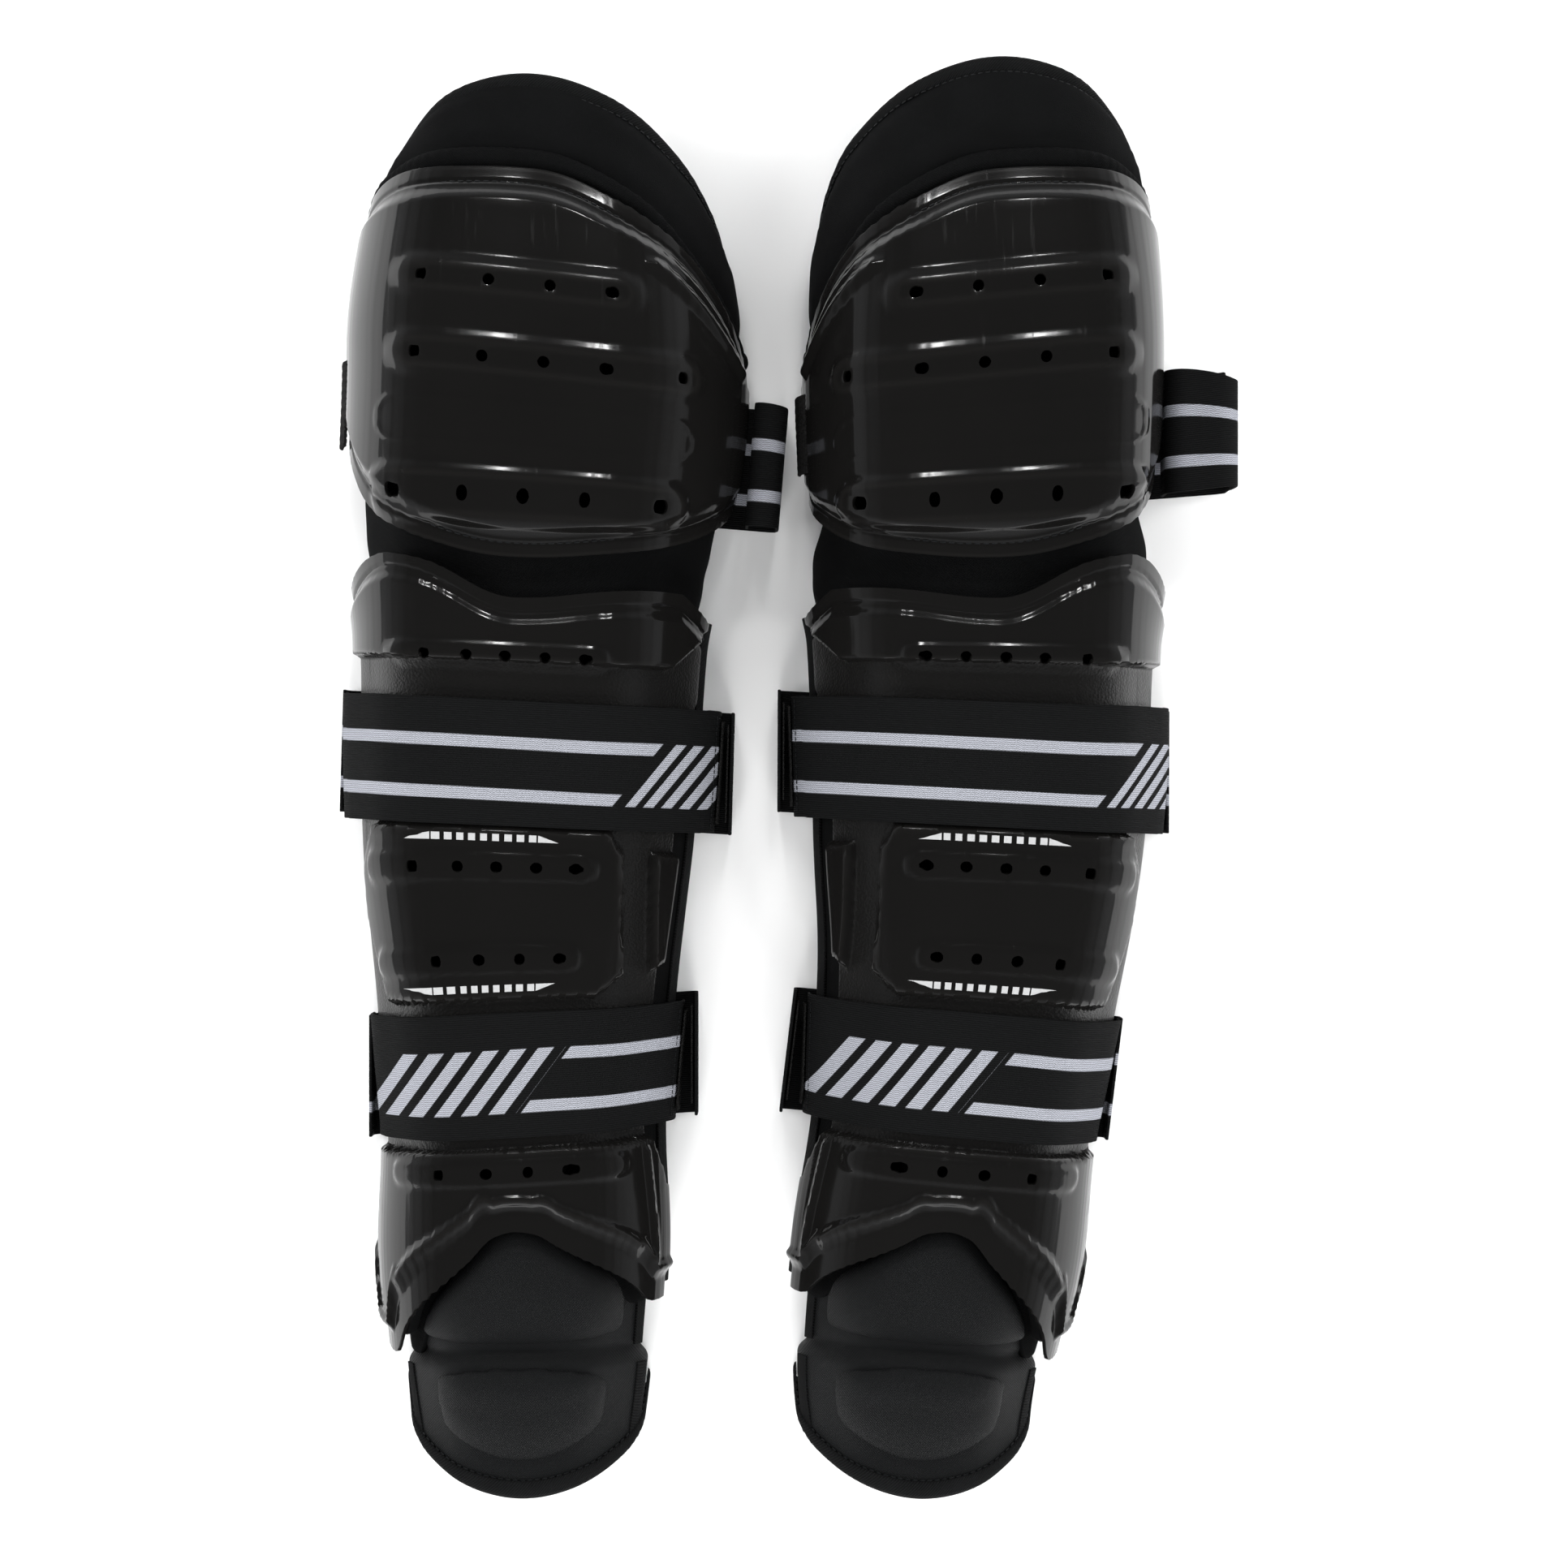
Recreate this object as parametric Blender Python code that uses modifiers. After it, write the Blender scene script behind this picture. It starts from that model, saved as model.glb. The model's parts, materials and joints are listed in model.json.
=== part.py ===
"""A pair of combined knee and shin guards, lying on their backs side by side.

Metres, +Z up, +Y from the toes to the thighs. Each guard is drawn in its own
frame: x runs from its outer edge (-) to its inner edge (+), and v runs along
the leg. A point of a guard is a place on the surface that wraps the leg, as
(turn, v), and a lift above that surface. Turn counts the corners of the
cross-section: 0 and 6 are the two edges that stand on the floor, 1 and 5 the
shoulders, 2 and 4 the edges of the front facet, 3 its middle.
"""

import math

import bmesh
import bpy
from mathutils import Matrix, Vector

# Lengths along the leg, in metres. v = 0 is a little below the calf strap.
KNEE_LEVEL = 0.088  # where the knee section meets the shin section
KNEE_LENGTH = 0.162
SHIN_LENGTH = 0.266  # from the knee line to the top of the ankle arch
OUTER_TIP_LENGTH = 0.0525  # how far the shell runs on beside the arch
INNER_TIP_LENGTH = 0.0325
INSTEP_LENGTH = 0.0575

# Cross-sections of the leg channel: half width, height and half width of the
# front facet, from the thigh to the toes
THIGH_END = (0.050, 0.034, 0.030)
THIGH_ROOT = (0.056, 0.046, 0.034)
KNEE_UPPER = (0.064, 0.057, 0.040)
KNEE_MIDDLE = (0.0705, 0.066, 0.044)
KNEE_LOWER = (0.069, 0.064, 0.043)
KNEE_LINE = (0.0655, 0.057, 0.041)
CALF = (0.0605, 0.054, 0.040)
SHIN_MIDDLE = (0.0575, 0.048, 0.039)
SHIN_LOWER = (0.051, 0.044, 0.031)
ANKLE = (0.0465, 0.040, 0.027)
ARCH = (0.048, 0.037, 0.028)
INSTEP = (0.045, 0.031, 0.027)
TOE = (0.040, 0.017, 0.022)
SHOULDER_SHARE = 0.38  # of the height, where the upright side ends
CROWN = 0.0025  # rise of the front facet's middle
FACET_SHIFT = 0.0055  # of the front facet towards the outer edge
CORNER = 0.3  # rounding of the section's corners, in turns

# Materials by thickness
LINER = 0.003
FOAM = 0.005
SHELL = 0.0022
STRAP = 0.0013
PATCH = 0.0007
BINDING = 0.0015
FLAP = 0.009
TONGUE = 0.003
INSTEP_PAD = 0.005
PILLOW = 0.0045
RIM_ROLL = 0.006
LAYER_GAP = 0.0008  # between one layer and the next
SHELL_GAP = 0.0010  # between the foam and the shell over it
TRIM_GAP = 0.0014  # under bindings and over the tongue, which bend the other way
EDGE_GAP = 0.0007  # between sections that meet end to end
FLOOR_GAP = 0.0006  # between a strap's back run and the edge above it

# Straps
STRAP_WIDTH = 0.050
CALF_STRAP_SHARE = 0.297  # of the shin's length, down from the knee line
ANKLE_STRAP_SHARE = 0.763
KNEE_STRAP_SHARE = 0.300  # of the knee's length, up from the knee line
CALF_STRAP_SLACK = 0.004  # how far the calf strap stands off the shell's sides
TAB_HEIGHT = 0.019  # of the upright end that closes on the front run
LOOP_HEIGHT = 0.034  # of the knee strap's loop
LOOP_ROUND = 0.005
NOTCH_MARGIN = 0.0025  # by which an edge's notch is wider than the strap in it
NOTCH_RAMP = 0.004
SHELL_START = 0.45  # turn at which the shells begin, above the floor edge

# Outlines
KNEE_TOP_DROP = 0.0135  # of the knee's top edge, per turn squared
KNEE_BOTTOM_RISE = 0.0026
FLAP_DROP = 0.0115
RIM_INSET = 0.0103  # from the knee liner's top edge to its shell's
SHELL_FOOT = 0.0036  # from the knee line to the knee shell
SHIN_VALLEY = 0.0135  # from the knee line to the dip of the shin shell
SHIN_PEAK = 0.013
LINER_MARGIN = 0.004  # by which the liner shows below the shell's arch
FOAM_INSET = 0.006  # from a shell's edge to the foam inside it
TRIM_INSET = 0.003
PILLOW_INSET = 0.0012  # from the liner's arch to the ankle pillow
CREASE = 0.0095  # from the instep's hinge to the ankle pillow
BINDING_WIDTH = 0.0065
TIP_TURN = 2.3  # turns from the middle to the shell's tips
TOE_ROUND = 0.0049  # rise of the toe edge, per turn squared

# Vent holes: share of the section's length, how many, spacing, place of the row's middle
VENT_RADIUS = 0.0022
KNEE_VENTS = ((0.651, 4, 0.0231, -0.0088), (0.478, 5, 0.0231, 0.001), (0.164, 5, 0.0231, -0.0035))
SHIN_VENTS = ((0.138, 5, 0.0148, -0.0085), (0.452, 5, 0.0148, -0.0105),
              (0.589, 4, 0.0148, -0.0095), (0.909, 4, 0.0148, -0.0075))

# How each guard lies. Centre and skew are given at the levels in LIE_SHARES:
# centre is the middle line's offset towards the other guard, skew the slope
# of a level line.
LIE_SHARES = (("knee", 0.50), ("knee", 0.0), ("shin", 0.30), ("shin", 0.52), ("shin", 0.76),
              ("shin", 1.03), ("shin", 1.30))
GUARDS = {
    "left": {"mirror": 1, "x": -0.105, "knee_half": 0.0, "thigh_reach": 0.033,
             "strap_from": -1, "loop_reach": 0.012,
             "centre": (0.0095, 0.004, 0.0015, 0.0, 0.0, 0.0, 0.0),
             "skew": (-0.11, -0.04, -0.06, 0.0, 0.07, 0.04, 0.0)},
    "right": {"mirror": -1, "x": 0.080, "knee_half": -0.009, "thigh_reach": 0.041,
              "strap_from": 1, "loop_reach": 0.028,
              "centre": (0.0, 0.0, 0.0, 0.002, 0.009, 0.018, 0.027),
              "skew": (-0.10, -0.02, 0.055, 0.045, 0.09, 0.08, 0.05)},
}

# Levels that follow from the lengths
KNEE_TOP = KNEE_LEVEL + KNEE_LENGTH
ARCH_LEVEL = KNEE_LEVEL - SHIN_LENGTH
TIP_LEVEL = ARCH_LEVEL - OUTER_TIP_LENGTH
INSTEP_LEVEL = TIP_LEVEL - 0.0018
TOE_LEVEL = INSTEP_LEVEL - INSTEP_LENGTH
NOTCH = STRAP + FLOOR_GAP

# Lifts of the layers above the leg surface
FOAM_LIFT = LINER + LAYER_GAP
SHELL_LIFT = FOAM_LIFT + FOAM + SHELL_GAP
FRONT_LIFT = SHELL_LIFT + SHELL + LAYER_GAP
LOOP_LIFT = FRONT_LIFT + STRAP + LAYER_GAP
HOOK_LIFT = LOOP_LIFT + PATCH + LAYER_GAP
TAB_LIFT = HOOK_LIFT + PATCH + LAYER_GAP

# Turns at which every layer has its columns, and shares of the length at which
# it has its rows, so that layers stay parallel
COLUMNS = (0, 0.7, 1.0, 1.3, 1.7, 2.0, 2.3, 3.0, 3.7, 4.0, 4.3, 4.7, 5.0, 5.3, 6)
SHIN_ROWS = (0.90, 0.76, 0.65, 0.52, 0.40, 0.26, 0.12)
KNEE_ROWS = (0.19, 0.32, 0.46)


def clear_scene():
    for obj in list(bpy.data.objects):
        bpy.data.objects.remove(obj, do_unlink=True)


def at_share(section, share):
    """The level at a share of the knee's or the shin's length."""
    if section == "knee":
        return KNEE_LEVEL + share * KNEE_LENGTH
    return KNEE_LEVEL - share * SHIN_LENGTH


CALF_STRAP_LEVEL = at_share("shin", CALF_STRAP_SHARE)
ANKLE_STRAP_LEVEL = at_share("shin", ANKLE_STRAP_SHARE)
KNEE_STRAP_LEVEL = at_share("knee", KNEE_STRAP_SHARE)


def section_table(guard):
    """(level, half width, height, front facet's half width), from the toes up."""
    half = guard["knee_half"]
    rows = [
        (TOE_LEVEL, TOE),
        (INSTEP_LEVEL, INSTEP),
        (at_share("shin", 1.03), ARCH),
        (at_share("shin", 0.875), ANKLE),
        (at_share("shin", 0.65), SHIN_LOWER),
        (at_share("shin", 0.40), SHIN_MIDDLE),
        (at_share("shin", 0.12), CALF),
        (at_share("knee", 0.0), KNEE_LINE),
        (at_share("knee", 0.18), (KNEE_LOWER[0] + half, *KNEE_LOWER[1:])),
        (at_share("knee", 0.50), (KNEE_MIDDLE[0] + half, *KNEE_MIDDLE[1:])),
        (at_share("knee", 0.83), (KNEE_UPPER[0] + half / 2, *KNEE_UPPER[1:])),
        (at_share("knee", 1.03), THIGH_ROOT),
        (KNEE_TOP + 0.045, THIGH_END),
    ]
    return [(level, *sizes) for level, sizes in rows]


def smooth(levels, values, v):
    """A curve through the values, with slopes that never overshoot them."""
    if v <= levels[0]:
        return values[0]
    if v >= levels[-1]:
        return values[-1]
    i = max(k for k in range(len(levels) - 1) if levels[k] <= v)

    def slope(k):
        if k in (0, len(levels) - 1):
            return 0.0
        before = (values[k] - values[k - 1]) / (levels[k] - levels[k - 1])
        after = (values[k + 1] - values[k]) / (levels[k + 1] - levels[k])
        return 0.0 if before * after <= 0 else 2 * before * after / (before + after)

    span = levels[i + 1] - levels[i]
    s = (v - levels[i]) / span
    start, end = values[i], values[i + 1]
    bend = slope(i) * (s - 2 * s**2 + s**3) + slope(i + 1) * (s**3 - s**2)
    return start + (end - start) * (3 * s**2 - 2 * s**3) + bend * span


def prepare(guard):
    """Adds the guard's tables, lowest level first."""
    table = section_table(guard)
    guard["levels"] = [row[0] for row in table]
    guard["sizes"] = [[row[k] for row in table] for k in (1, 2, 3)]
    lie = sorted(zip([at_share(*place) for place in LIE_SHARES], guard["centre"], guard["skew"]))
    guard["lie_levels"] = [row[0] for row in lie]
    guard["lie_centre"] = [row[1] for row in lie]
    guard["lie_skew"] = [row[2] for row in lie]


def sizes_at(guard, v):
    return [smooth(guard["levels"], column, v) for column in guard["sizes"]]


def centre_at(guard, v):
    return smooth(guard["lie_levels"], guard["lie_centre"], v)


def skew_at(guard, v):
    return smooth(guard["lie_levels"], guard["lie_skew"], v)


def floor_edge(v):
    """Height of the edges that stand on the floor: raised where a strap passes under."""
    height = 0.0
    for level in (CALF_STRAP_LEVEL, ANKLE_STRAP_LEVEL, KNEE_STRAP_LEVEL):
        beyond = abs(v - level) - STRAP_WIDTH / 2 - NOTCH_MARGIN
        height = max(height, NOTCH * min(1.0, max(0.0, 1 - beyond / NOTCH_RAMP)))
    return height


def corners(guard, v):
    half, height, facet = sizes_at(guard, v)
    shoulder = SHOULDER_SHARE * height
    edge = floor_edge(v)
    middle = -FACET_SHIFT * min(1.0, height / KNEE_MIDDLE[1])
    return [(-half, edge), (-half, shoulder), (middle - facet, height), (middle, height + CROWN),
            (middle + facet, height), (half, shoulder), (half, edge)]


def along(points, turn):
    """The point at this turn of the open outline, whose end sides run on straight."""
    k = min(max(int(math.floor(turn)), 0), len(points) - 2)
    share = turn - k
    return [a + (b - a) * share for a, b in zip(points[k], points[k + 1])]


def surface(guard, turn, v):
    """A point of the leg surface in the guard's own frame."""
    points = corners(guard, v)
    samples = [along(points, turn + CORNER * step / 2) for step in (-2, -1, 0, 1, 2)]
    if turn < CORNER or turn > 6 - CORNER:
        samples = [along(points, turn)]
    x = sum(p[0] for p in samples) / len(samples)
    z = sum(p[1] for p in samples) / len(samples)
    return Vector((centre_at(guard, v) + x, v + skew_at(guard, v) * x, z))


def normal(guard, turn, v):
    step = 0.001
    across = surface(guard, turn + step, v) - surface(guard, turn - step, v)
    up = surface(guard, turn, v + step) - surface(guard, turn, v - step)
    up.z = 0.0 if turn < 1 or turn > 5 else up.z
    return across.cross(up).normalized()


def place(guard, turn, v, lift):
    """The point at this lift above the leg surface, in the pair's frame."""
    point = surface(guard, turn, v) + normal(guard, turn, v) * lift
    return to_pair(guard, point)


def to_pair(guard, point):
    return Vector((guard["x"] + guard["mirror"] * point.x, point.y, point.z))


def between(low, high, share):
    """The outline that lies at a share of the way between two outlines."""
    return lambda turn: value_at(low, turn) * (1 - share) + value_at(high, turn) * share


def value_at(level, turn):
    return level(turn) if callable(level) else level


def knee_top(turn):
    return KNEE_TOP - KNEE_TOP_DROP * min(abs(turn - 3), 2.2) ** 2


def knee_shell_top(turn):
    return knee_top(turn) - RIM_INSET


def knee_shell_bottom(turn):
    return KNEE_LEVEL + SHELL_FOOT + KNEE_BOTTOM_RISE * min(abs(turn - 3), 2.4) ** 2


def shin_shell_top(turn):
    away = abs(turn - 3)
    peak = SHIN_PEAK * math.sin(math.pi / 2 * min(away / 1.9, 1)) ** 2
    return KNEE_LEVEL - SHIN_VALLEY + peak - 0.020 * max(0.0, away - 2.0)


def arch(turn):
    reach = OUTER_TIP_LENGTH if turn < 3 else INNER_TIP_LENGTH
    return ARCH_LEVEL - reach * min(abs(turn - 3) / TIP_TURN, 1) ** 1.5


def liner_bottom(turn):
    return max(arch(turn) - LINER_MARGIN, TIP_LEVEL - 0.001)


def toe_edge(turn):
    return TOE_LEVEL + TOE_ROUND * (turn - 3) ** 2


def strap_rows(level):
    """The levels at which an edge's notch for a strap begins and ends, and its middle."""
    reach = STRAP_WIDTH / 2 + NOTCH_MARGIN
    return [level - reach - NOTCH_RAMP, level - reach, level, level + reach, level + reach + NOTCH_RAMP]


def new_material(name, colour, roughness, metallic=0.0):
    material = bpy.data.materials.new(name)
    material.use_nodes = True
    shader = material.node_tree.nodes["Principled BSDF"]
    shader.inputs["Base Color"].default_value = (*colour, 1)
    shader.inputs["Roughness"].default_value = roughness
    shader.inputs["Metallic"].default_value = metallic
    return material


FINISHES = {
    "gloss_shell": ((0.012, 0.012, 0.011), 0.18),
    "black_fabric": ((0.008, 0.008, 0.009), 0.85),
    "foam": ((0.03, 0.03, 0.03), 0.95),
    "elastic": ((0.007, 0.007, 0.008), 0.75),
    "hook": ((0.01, 0.01, 0.01), 0.9),
    "tape": ((0.01, 0.01, 0.011), 0.7),
}


def finish_object(name, mesh, finish, collection):
    obj = bpy.data.objects.new(name, mesh)
    collection.objects.link(obj)
    colour, roughness = FINISHES[finish]
    mesh.materials.append(new_material(name, colour, roughness))
    for face in mesh.polygons:
        face.use_smooth = True
    mesh.set_sharp_from_angle(angle=math.radians(35))
    return obj


def mapped_grid(name, columns, rows, at, mirrored):
    """A grid whose point (column, row) lies where the function at() says."""
    form = bmesh.new()
    bmesh.ops.create_grid(form, x_segments=columns - 1, y_segments=rows - 1, size=1)
    for vertex in form.verts:
        column = round((vertex.co.x + 1) / 2 * (columns - 1))
        row = round((vertex.co.y + 1) / 2 * (rows - 1))
        vertex.co = at(column, row)
    if mirrored:
        bmesh.ops.reverse_faces(form, faces=form.faces)
    mesh = bpy.data.meshes.new(name)
    form.to_mesh(mesh)
    form.free()
    return mesh


def thicken(obj, thickness, offset, even):
    modifier = obj.modifiers.new("thickness", "SOLIDIFY")
    modifier.thickness = thickness
    modifier.offset = offset
    modifier.use_even_offset = even


def layer(guard, name, turns, rows, lift, thickness, finish, slack=0.0):
    """A slab that follows the leg: turns are its limits across, rows its outlines along."""
    first, last = turns
    inside = [c for c in COLUMNS if first + 0.05 < c < last - 0.05]
    columns = [first, *inside, last]

    def at(column, row):
        turn = columns[column]
        off = slack * min(1.0, max(0.0, (abs(turn - 3) - 1.0) / 1.2))
        return place(guard, turn, value_at(rows[row], turn), lift + off)

    mesh = mapped_grid(name, len(columns), len(rows), at, guard["mirror"] < 0)
    obj = finish_object(name, mesh, finish, guard["collection"])
    thicken(obj, thickness, 1, False)
    return obj


def ribbon(guard, name, path, level, width, thickness, finish):
    """A flat strap along a path of (x, z) points, straight along the leg."""
    centre = centre_at(guard, level)
    drift = (centre_at(guard, level + 0.01) - centre_at(guard, level - 0.01)) / 0.02
    skew = skew_at(guard, level)

    def at(column, row):
        x, z = path[column]
        v = level + (row - 0.5) * width
        return to_pair(guard, Vector((centre + drift * (v - level) + x, v + skew * x, z)))

    mesh = mapped_grid(name, len(path), 2, at, guard["mirror"] < 0)
    obj = finish_object(name, mesh, finish, guard["collection"])
    thicken(obj, thickness, 0, True)
    return obj


def quarter(centre, radius, start, steps=4):
    """Points of a quarter circle about (x, z), from an angle in degrees, counting up."""
    angles = [math.radians(start + 90 * k / steps) for k in range(steps + 1)]
    return [(centre[0] + radius * math.cos(a), centre[1] + radius * math.sin(a)) for a in angles]


def widest(guard, level):
    """The leg channel's largest half width under a strap."""
    reach = STRAP_WIDTH / 2 + 0.001
    return max(sizes_at(guard, level + reach * k / 4)[0] for k in range(-4, 5))


def vents(guard, name, section, shell, rows):
    """Cuts rows of holes through a shell."""
    form = bmesh.new()
    for share, count, spacing, middle in rows:
        level = at_share(section, share)
        facet = sizes_at(guard, level)[2]
        for k in range(count):
            x = middle + (k - (count - 1) / 2) * spacing
            turn = 3 + (x + FACET_SHIFT) / facet
            spot = place(guard, turn, level, SHELL_LIFT + SHELL / 2)
            above = place(guard, turn, level, SHELL_LIFT + SHELL)
            turned = (above - spot).to_track_quat("Z", "Y").to_matrix().to_4x4()
            bmesh.ops.create_cone(form, cap_ends=True, segments=6, radius1=VENT_RADIUS,
                                  radius2=VENT_RADIUS, depth=4 * SHELL,
                                  matrix=Matrix.Translation(spot) @ turned)
    mesh = bpy.data.meshes.new(name)
    form.to_mesh(mesh)
    form.free()
    cutter = bpy.data.objects.new(name, mesh)
    guard["cutters"].objects.link(cutter)
    cutter.hide_render = True
    cutter.display_type = "WIRE"
    cut = shell.modifiers.new("vents", "BOOLEAN")
    cut.operation = "DIFFERENCE"
    cut.object = cutter
    return cutter


def front_strap(guard, prefix, level, slack):
    """The run over the shell, and the soft loop patch that the tab closes on."""
    half = STRAP_WIDTH / 2
    rows = [level - half, level, level + half]
    front = layer(guard, prefix + "_front", (0.05, 5.95), rows, FRONT_LIFT, STRAP, "elastic", slack)
    patch_rows = [level - half + 0.004, level, level + half - 0.004]
    patch = layer(guard, prefix + "_loop_patch", (5.25, 5.7), patch_rows, LOOP_LIFT, PATCH, "hook", slack)
    return [front, patch]


def back_strap(guard, prefix, level, slack):
    """The run behind the leg with its upright tab, and the hook patch inside the tab."""
    half = widest(guard, level)
    hinge_x = -(half + FRONT_LIFT + slack + STRAP / 2)
    tab_x = half + TAB_LIFT + slack + STRAP / 2
    base = STRAP / 2
    bend = 0.003
    path = [(hinge_x, base), (0.0, base), *quarter((tab_x - bend, base + bend), bend, -90, 3),
            (tab_x, TAB_HEIGHT)]
    back = ribbon(guard, prefix + "_back", path, level, STRAP_WIDTH, STRAP, "elastic")
    hook_x = half + HOOK_LIFT + slack + PATCH / 2
    hook_path = [(hook_x, base + bend), (hook_x, TAB_HEIGHT - 0.001)]
    hook = ribbon(guard, prefix + "_hook_patch", hook_path, level, STRAP_WIDTH - 0.010, PATCH, "hook")
    return [back, hook], (hinge_x, base)


def knee_strap(guard, prefix):
    """The run behind the knee, whose free end is folded into an upright loop."""
    level = KNEE_STRAP_LEVEL
    side = guard["strap_from"]
    half = widest(guard, level)
    base = STRAP / 2
    inner_x = half + FRONT_LIFT + STRAP / 2
    outer_x = inner_x + guard["loop_reach"]
    low = base + LOOP_ROUND
    high = LOOP_HEIGHT - LOOP_ROUND
    path = [(-(half + LINER / 2), base), (0.0, base)]
    path += quarter((outer_x - LOOP_ROUND, low), LOOP_ROUND, -90)
    path += quarter((outer_x - LOOP_ROUND, high), LOOP_ROUND, 0)
    path += quarter((inner_x + LOOP_ROUND, high), LOOP_ROUND, 90)
    path += [(inner_x, 0.010)]
    hook_x = inner_x + STRAP / 2 + LAYER_GAP + PATCH / 2
    hook_path = [(hook_x, 0.011), (hook_x, high - 0.002)]
    if side > 0:
        path = [(-x, z) for x, z in reversed(path)]
        hook_path = [(-x, z) for x, z in reversed(hook_path)]
    strap = ribbon(guard, prefix, path, level, STRAP_WIDTH, STRAP, "elastic")
    hook = ribbon(guard, prefix + "_hook_patch", hook_path, level, STRAP_WIDTH - 0.010, PATCH, "hook")
    return [strap, hook], (side * (half + LINER / 2), base)


def body_frame(name, position, parent):
    """An empty on a joint's axis, to which the moving pieces are parented."""
    frame = bpy.data.objects.new(name, None)
    parent.users_collection[0].objects.link(frame)
    frame.empty_display_size = 0.02
    frame.parent = parent
    frame.location = position - world_location(parent)
    return frame


def world_location(obj):
    return obj.location + (world_location(obj.parent) if obj.parent else Vector())


def carry(pieces, frame):
    """Moves the pieces' origins to the frame and parents them to it."""
    here = world_location(frame)
    for piece in pieces:
        piece.data.transform(Matrix.Translation(-here))
        piece.parent = frame


def strap_axis(guard, level, hinge):
    """The point of a strap's hinge at the strap's middle."""
    x, z = hinge
    return to_pair(guard, Vector((centre_at(guard, level) + x, level + skew_at(guard, level) * x, z)))


def shin_section(guard, side):
    calf, ankle = strap_rows(CALF_STRAP_LEVEL), strap_rows(ANKLE_STRAP_LEVEL)
    top = KNEE_LEVEL - EDGE_GAP / 2
    rows = [at_share("shin", share) for share in SHIN_ROWS]
    middle = at_share("shin", 0.52)
    upper = rows[-1]
    pieces = [layer(guard, side + "_shin_liner", (0, 6),
                    [liner_bottom, between(liner_bottom, ankle[0], 0.55), *ankle, middle, *calf, upper, top],
                    0, LINER, "black_fabric")]

    def foam_bottom(turn):
        return arch(turn) + FOAM_INSET

    def foam_top(turn):
        return shin_shell_top(turn) - FOAM_INSET

    pieces.append(layer(guard, side + "_shin_foam", (0.7, 5.3),
                        [foam_bottom, between(arch, rows[0], 0.55), *rows, foam_top],
                        FOAM_LIFT, FOAM, "foam"))
    shell = layer(guard, side + "_shin_shell", (SHELL_START, 6 - SHELL_START),
                  [arch, between(arch, rows[0], 0.55), *rows, shin_shell_top],
                  SHELL_LIFT, SHELL, "gloss_shell")
    cutters = [vents(guard, side + "_shin_vents", "shin", shell, SHIN_VENTS)]
    pieces.append(shell)
    for edge, turns, tip in (("outer", (0.15, 0.4), OUTER_TIP_LENGTH), ("inner", (5.6, 5.85), INNER_TIP_LENGTH)):
        long_rows = [ARCH_LEVEL - tip + BINDING_WIDTH, ARCH_LEVEL - tip / 2, *rows, top - TRIM_INSET]
        pieces.append(layer(guard, f"{side}_shin_binding_{edge}", turns, long_rows,
                            LINER + TRIM_GAP, BINDING, "tape"))
    pieces += front_strap(guard, side + "_calf_strap", CALF_STRAP_LEVEL, CALF_STRAP_SLACK)
    pieces += front_strap(guard, side + "_ankle_strap", ANKLE_STRAP_LEVEL, 0.0)
    tongue_bottom = INSTEP_LEVEL + EDGE_GAP
    tongue_rows = [between(tongue_bottom, rows[0], share) for share in (0, 0.25, 0.5, 0.75, 1)]
    pieces.append(layer(guard, side + "_ankle_tongue", (1.0, 5.0), tongue_rows,
                        -TONGUE - TRIM_GAP, TONGUE, "black_fabric"))

    def pillow_top(turn):
        return liner_bottom(turn) - PILLOW_INSET

    pillow_bottom = INSTEP_LEVEL + CREASE
    pieces.append(layer(guard, side + "_ankle_pillow", (2.1, 3.9),
                        [pillow_bottom, between(pillow_bottom, pillow_top, 0.5), pillow_top],
                        -TRIM_GAP + LAYER_GAP, PILLOW + TRIM_GAP, "black_fabric"))
    return pieces, cutters


def knee_section(guard, side):
    strap = strap_rows(KNEE_STRAP_LEVEL)
    pieces = [layer(guard, side + "_knee_liner", (0, 6),
                    [KNEE_LEVEL + EDGE_GAP / 2, *strap, between(strap[-1], knee_top, 0.35),
                     between(strap[-1], knee_top, 0.7), knee_top],
                    0, LINER, "black_fabric")]
    rows = [at_share("knee", share) for share in KNEE_ROWS]
    rows += [between(rows[-1], knee_shell_top, 0.35), between(rows[-1], knee_shell_top, 0.7)]

    def foam_bottom(turn):
        return between(knee_shell_bottom, rows[0], 0.3)(turn)

    pieces.append(layer(guard, side + "_knee_foam", (0.7, 5.3), [foam_bottom, *rows],
                        FOAM_LIFT, FOAM, "foam"))
    shell = layer(guard, side + "_knee_shell", (SHELL_START, 6 - SHELL_START),
                  [knee_shell_bottom, *rows, knee_shell_top], SHELL_LIFT, SHELL, "gloss_shell")
    cutters = [vents(guard, side + "_knee_vents", "knee", shell, KNEE_VENTS)]
    pieces.append(shell)

    def roll_bottom(turn):
        return knee_top(turn) - BINDING_WIDTH

    def roll_top(turn):
        return knee_top(turn) - EDGE_GAP

    pieces.append(layer(guard, side + "_knee_rim_roll", (0.3, 5.7), [roll_bottom, roll_top],
                        LINER + TRIM_GAP, RIM_ROLL, "black_fabric"))
    patch = (0.6, 1.0) if guard["strap_from"] < 0 else (5.0, 5.4)
    patch_rows = [KNEE_STRAP_LEVEL - STRAP_WIDTH * 0.1, rows[1], KNEE_STRAP_LEVEL + STRAP_WIDTH / 2]
    pieces.append(layer(guard, side + "_knee_loop_patch", patch, patch_rows, FRONT_LIFT, STRAP, "hook"))
    return pieces, cutters


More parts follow.
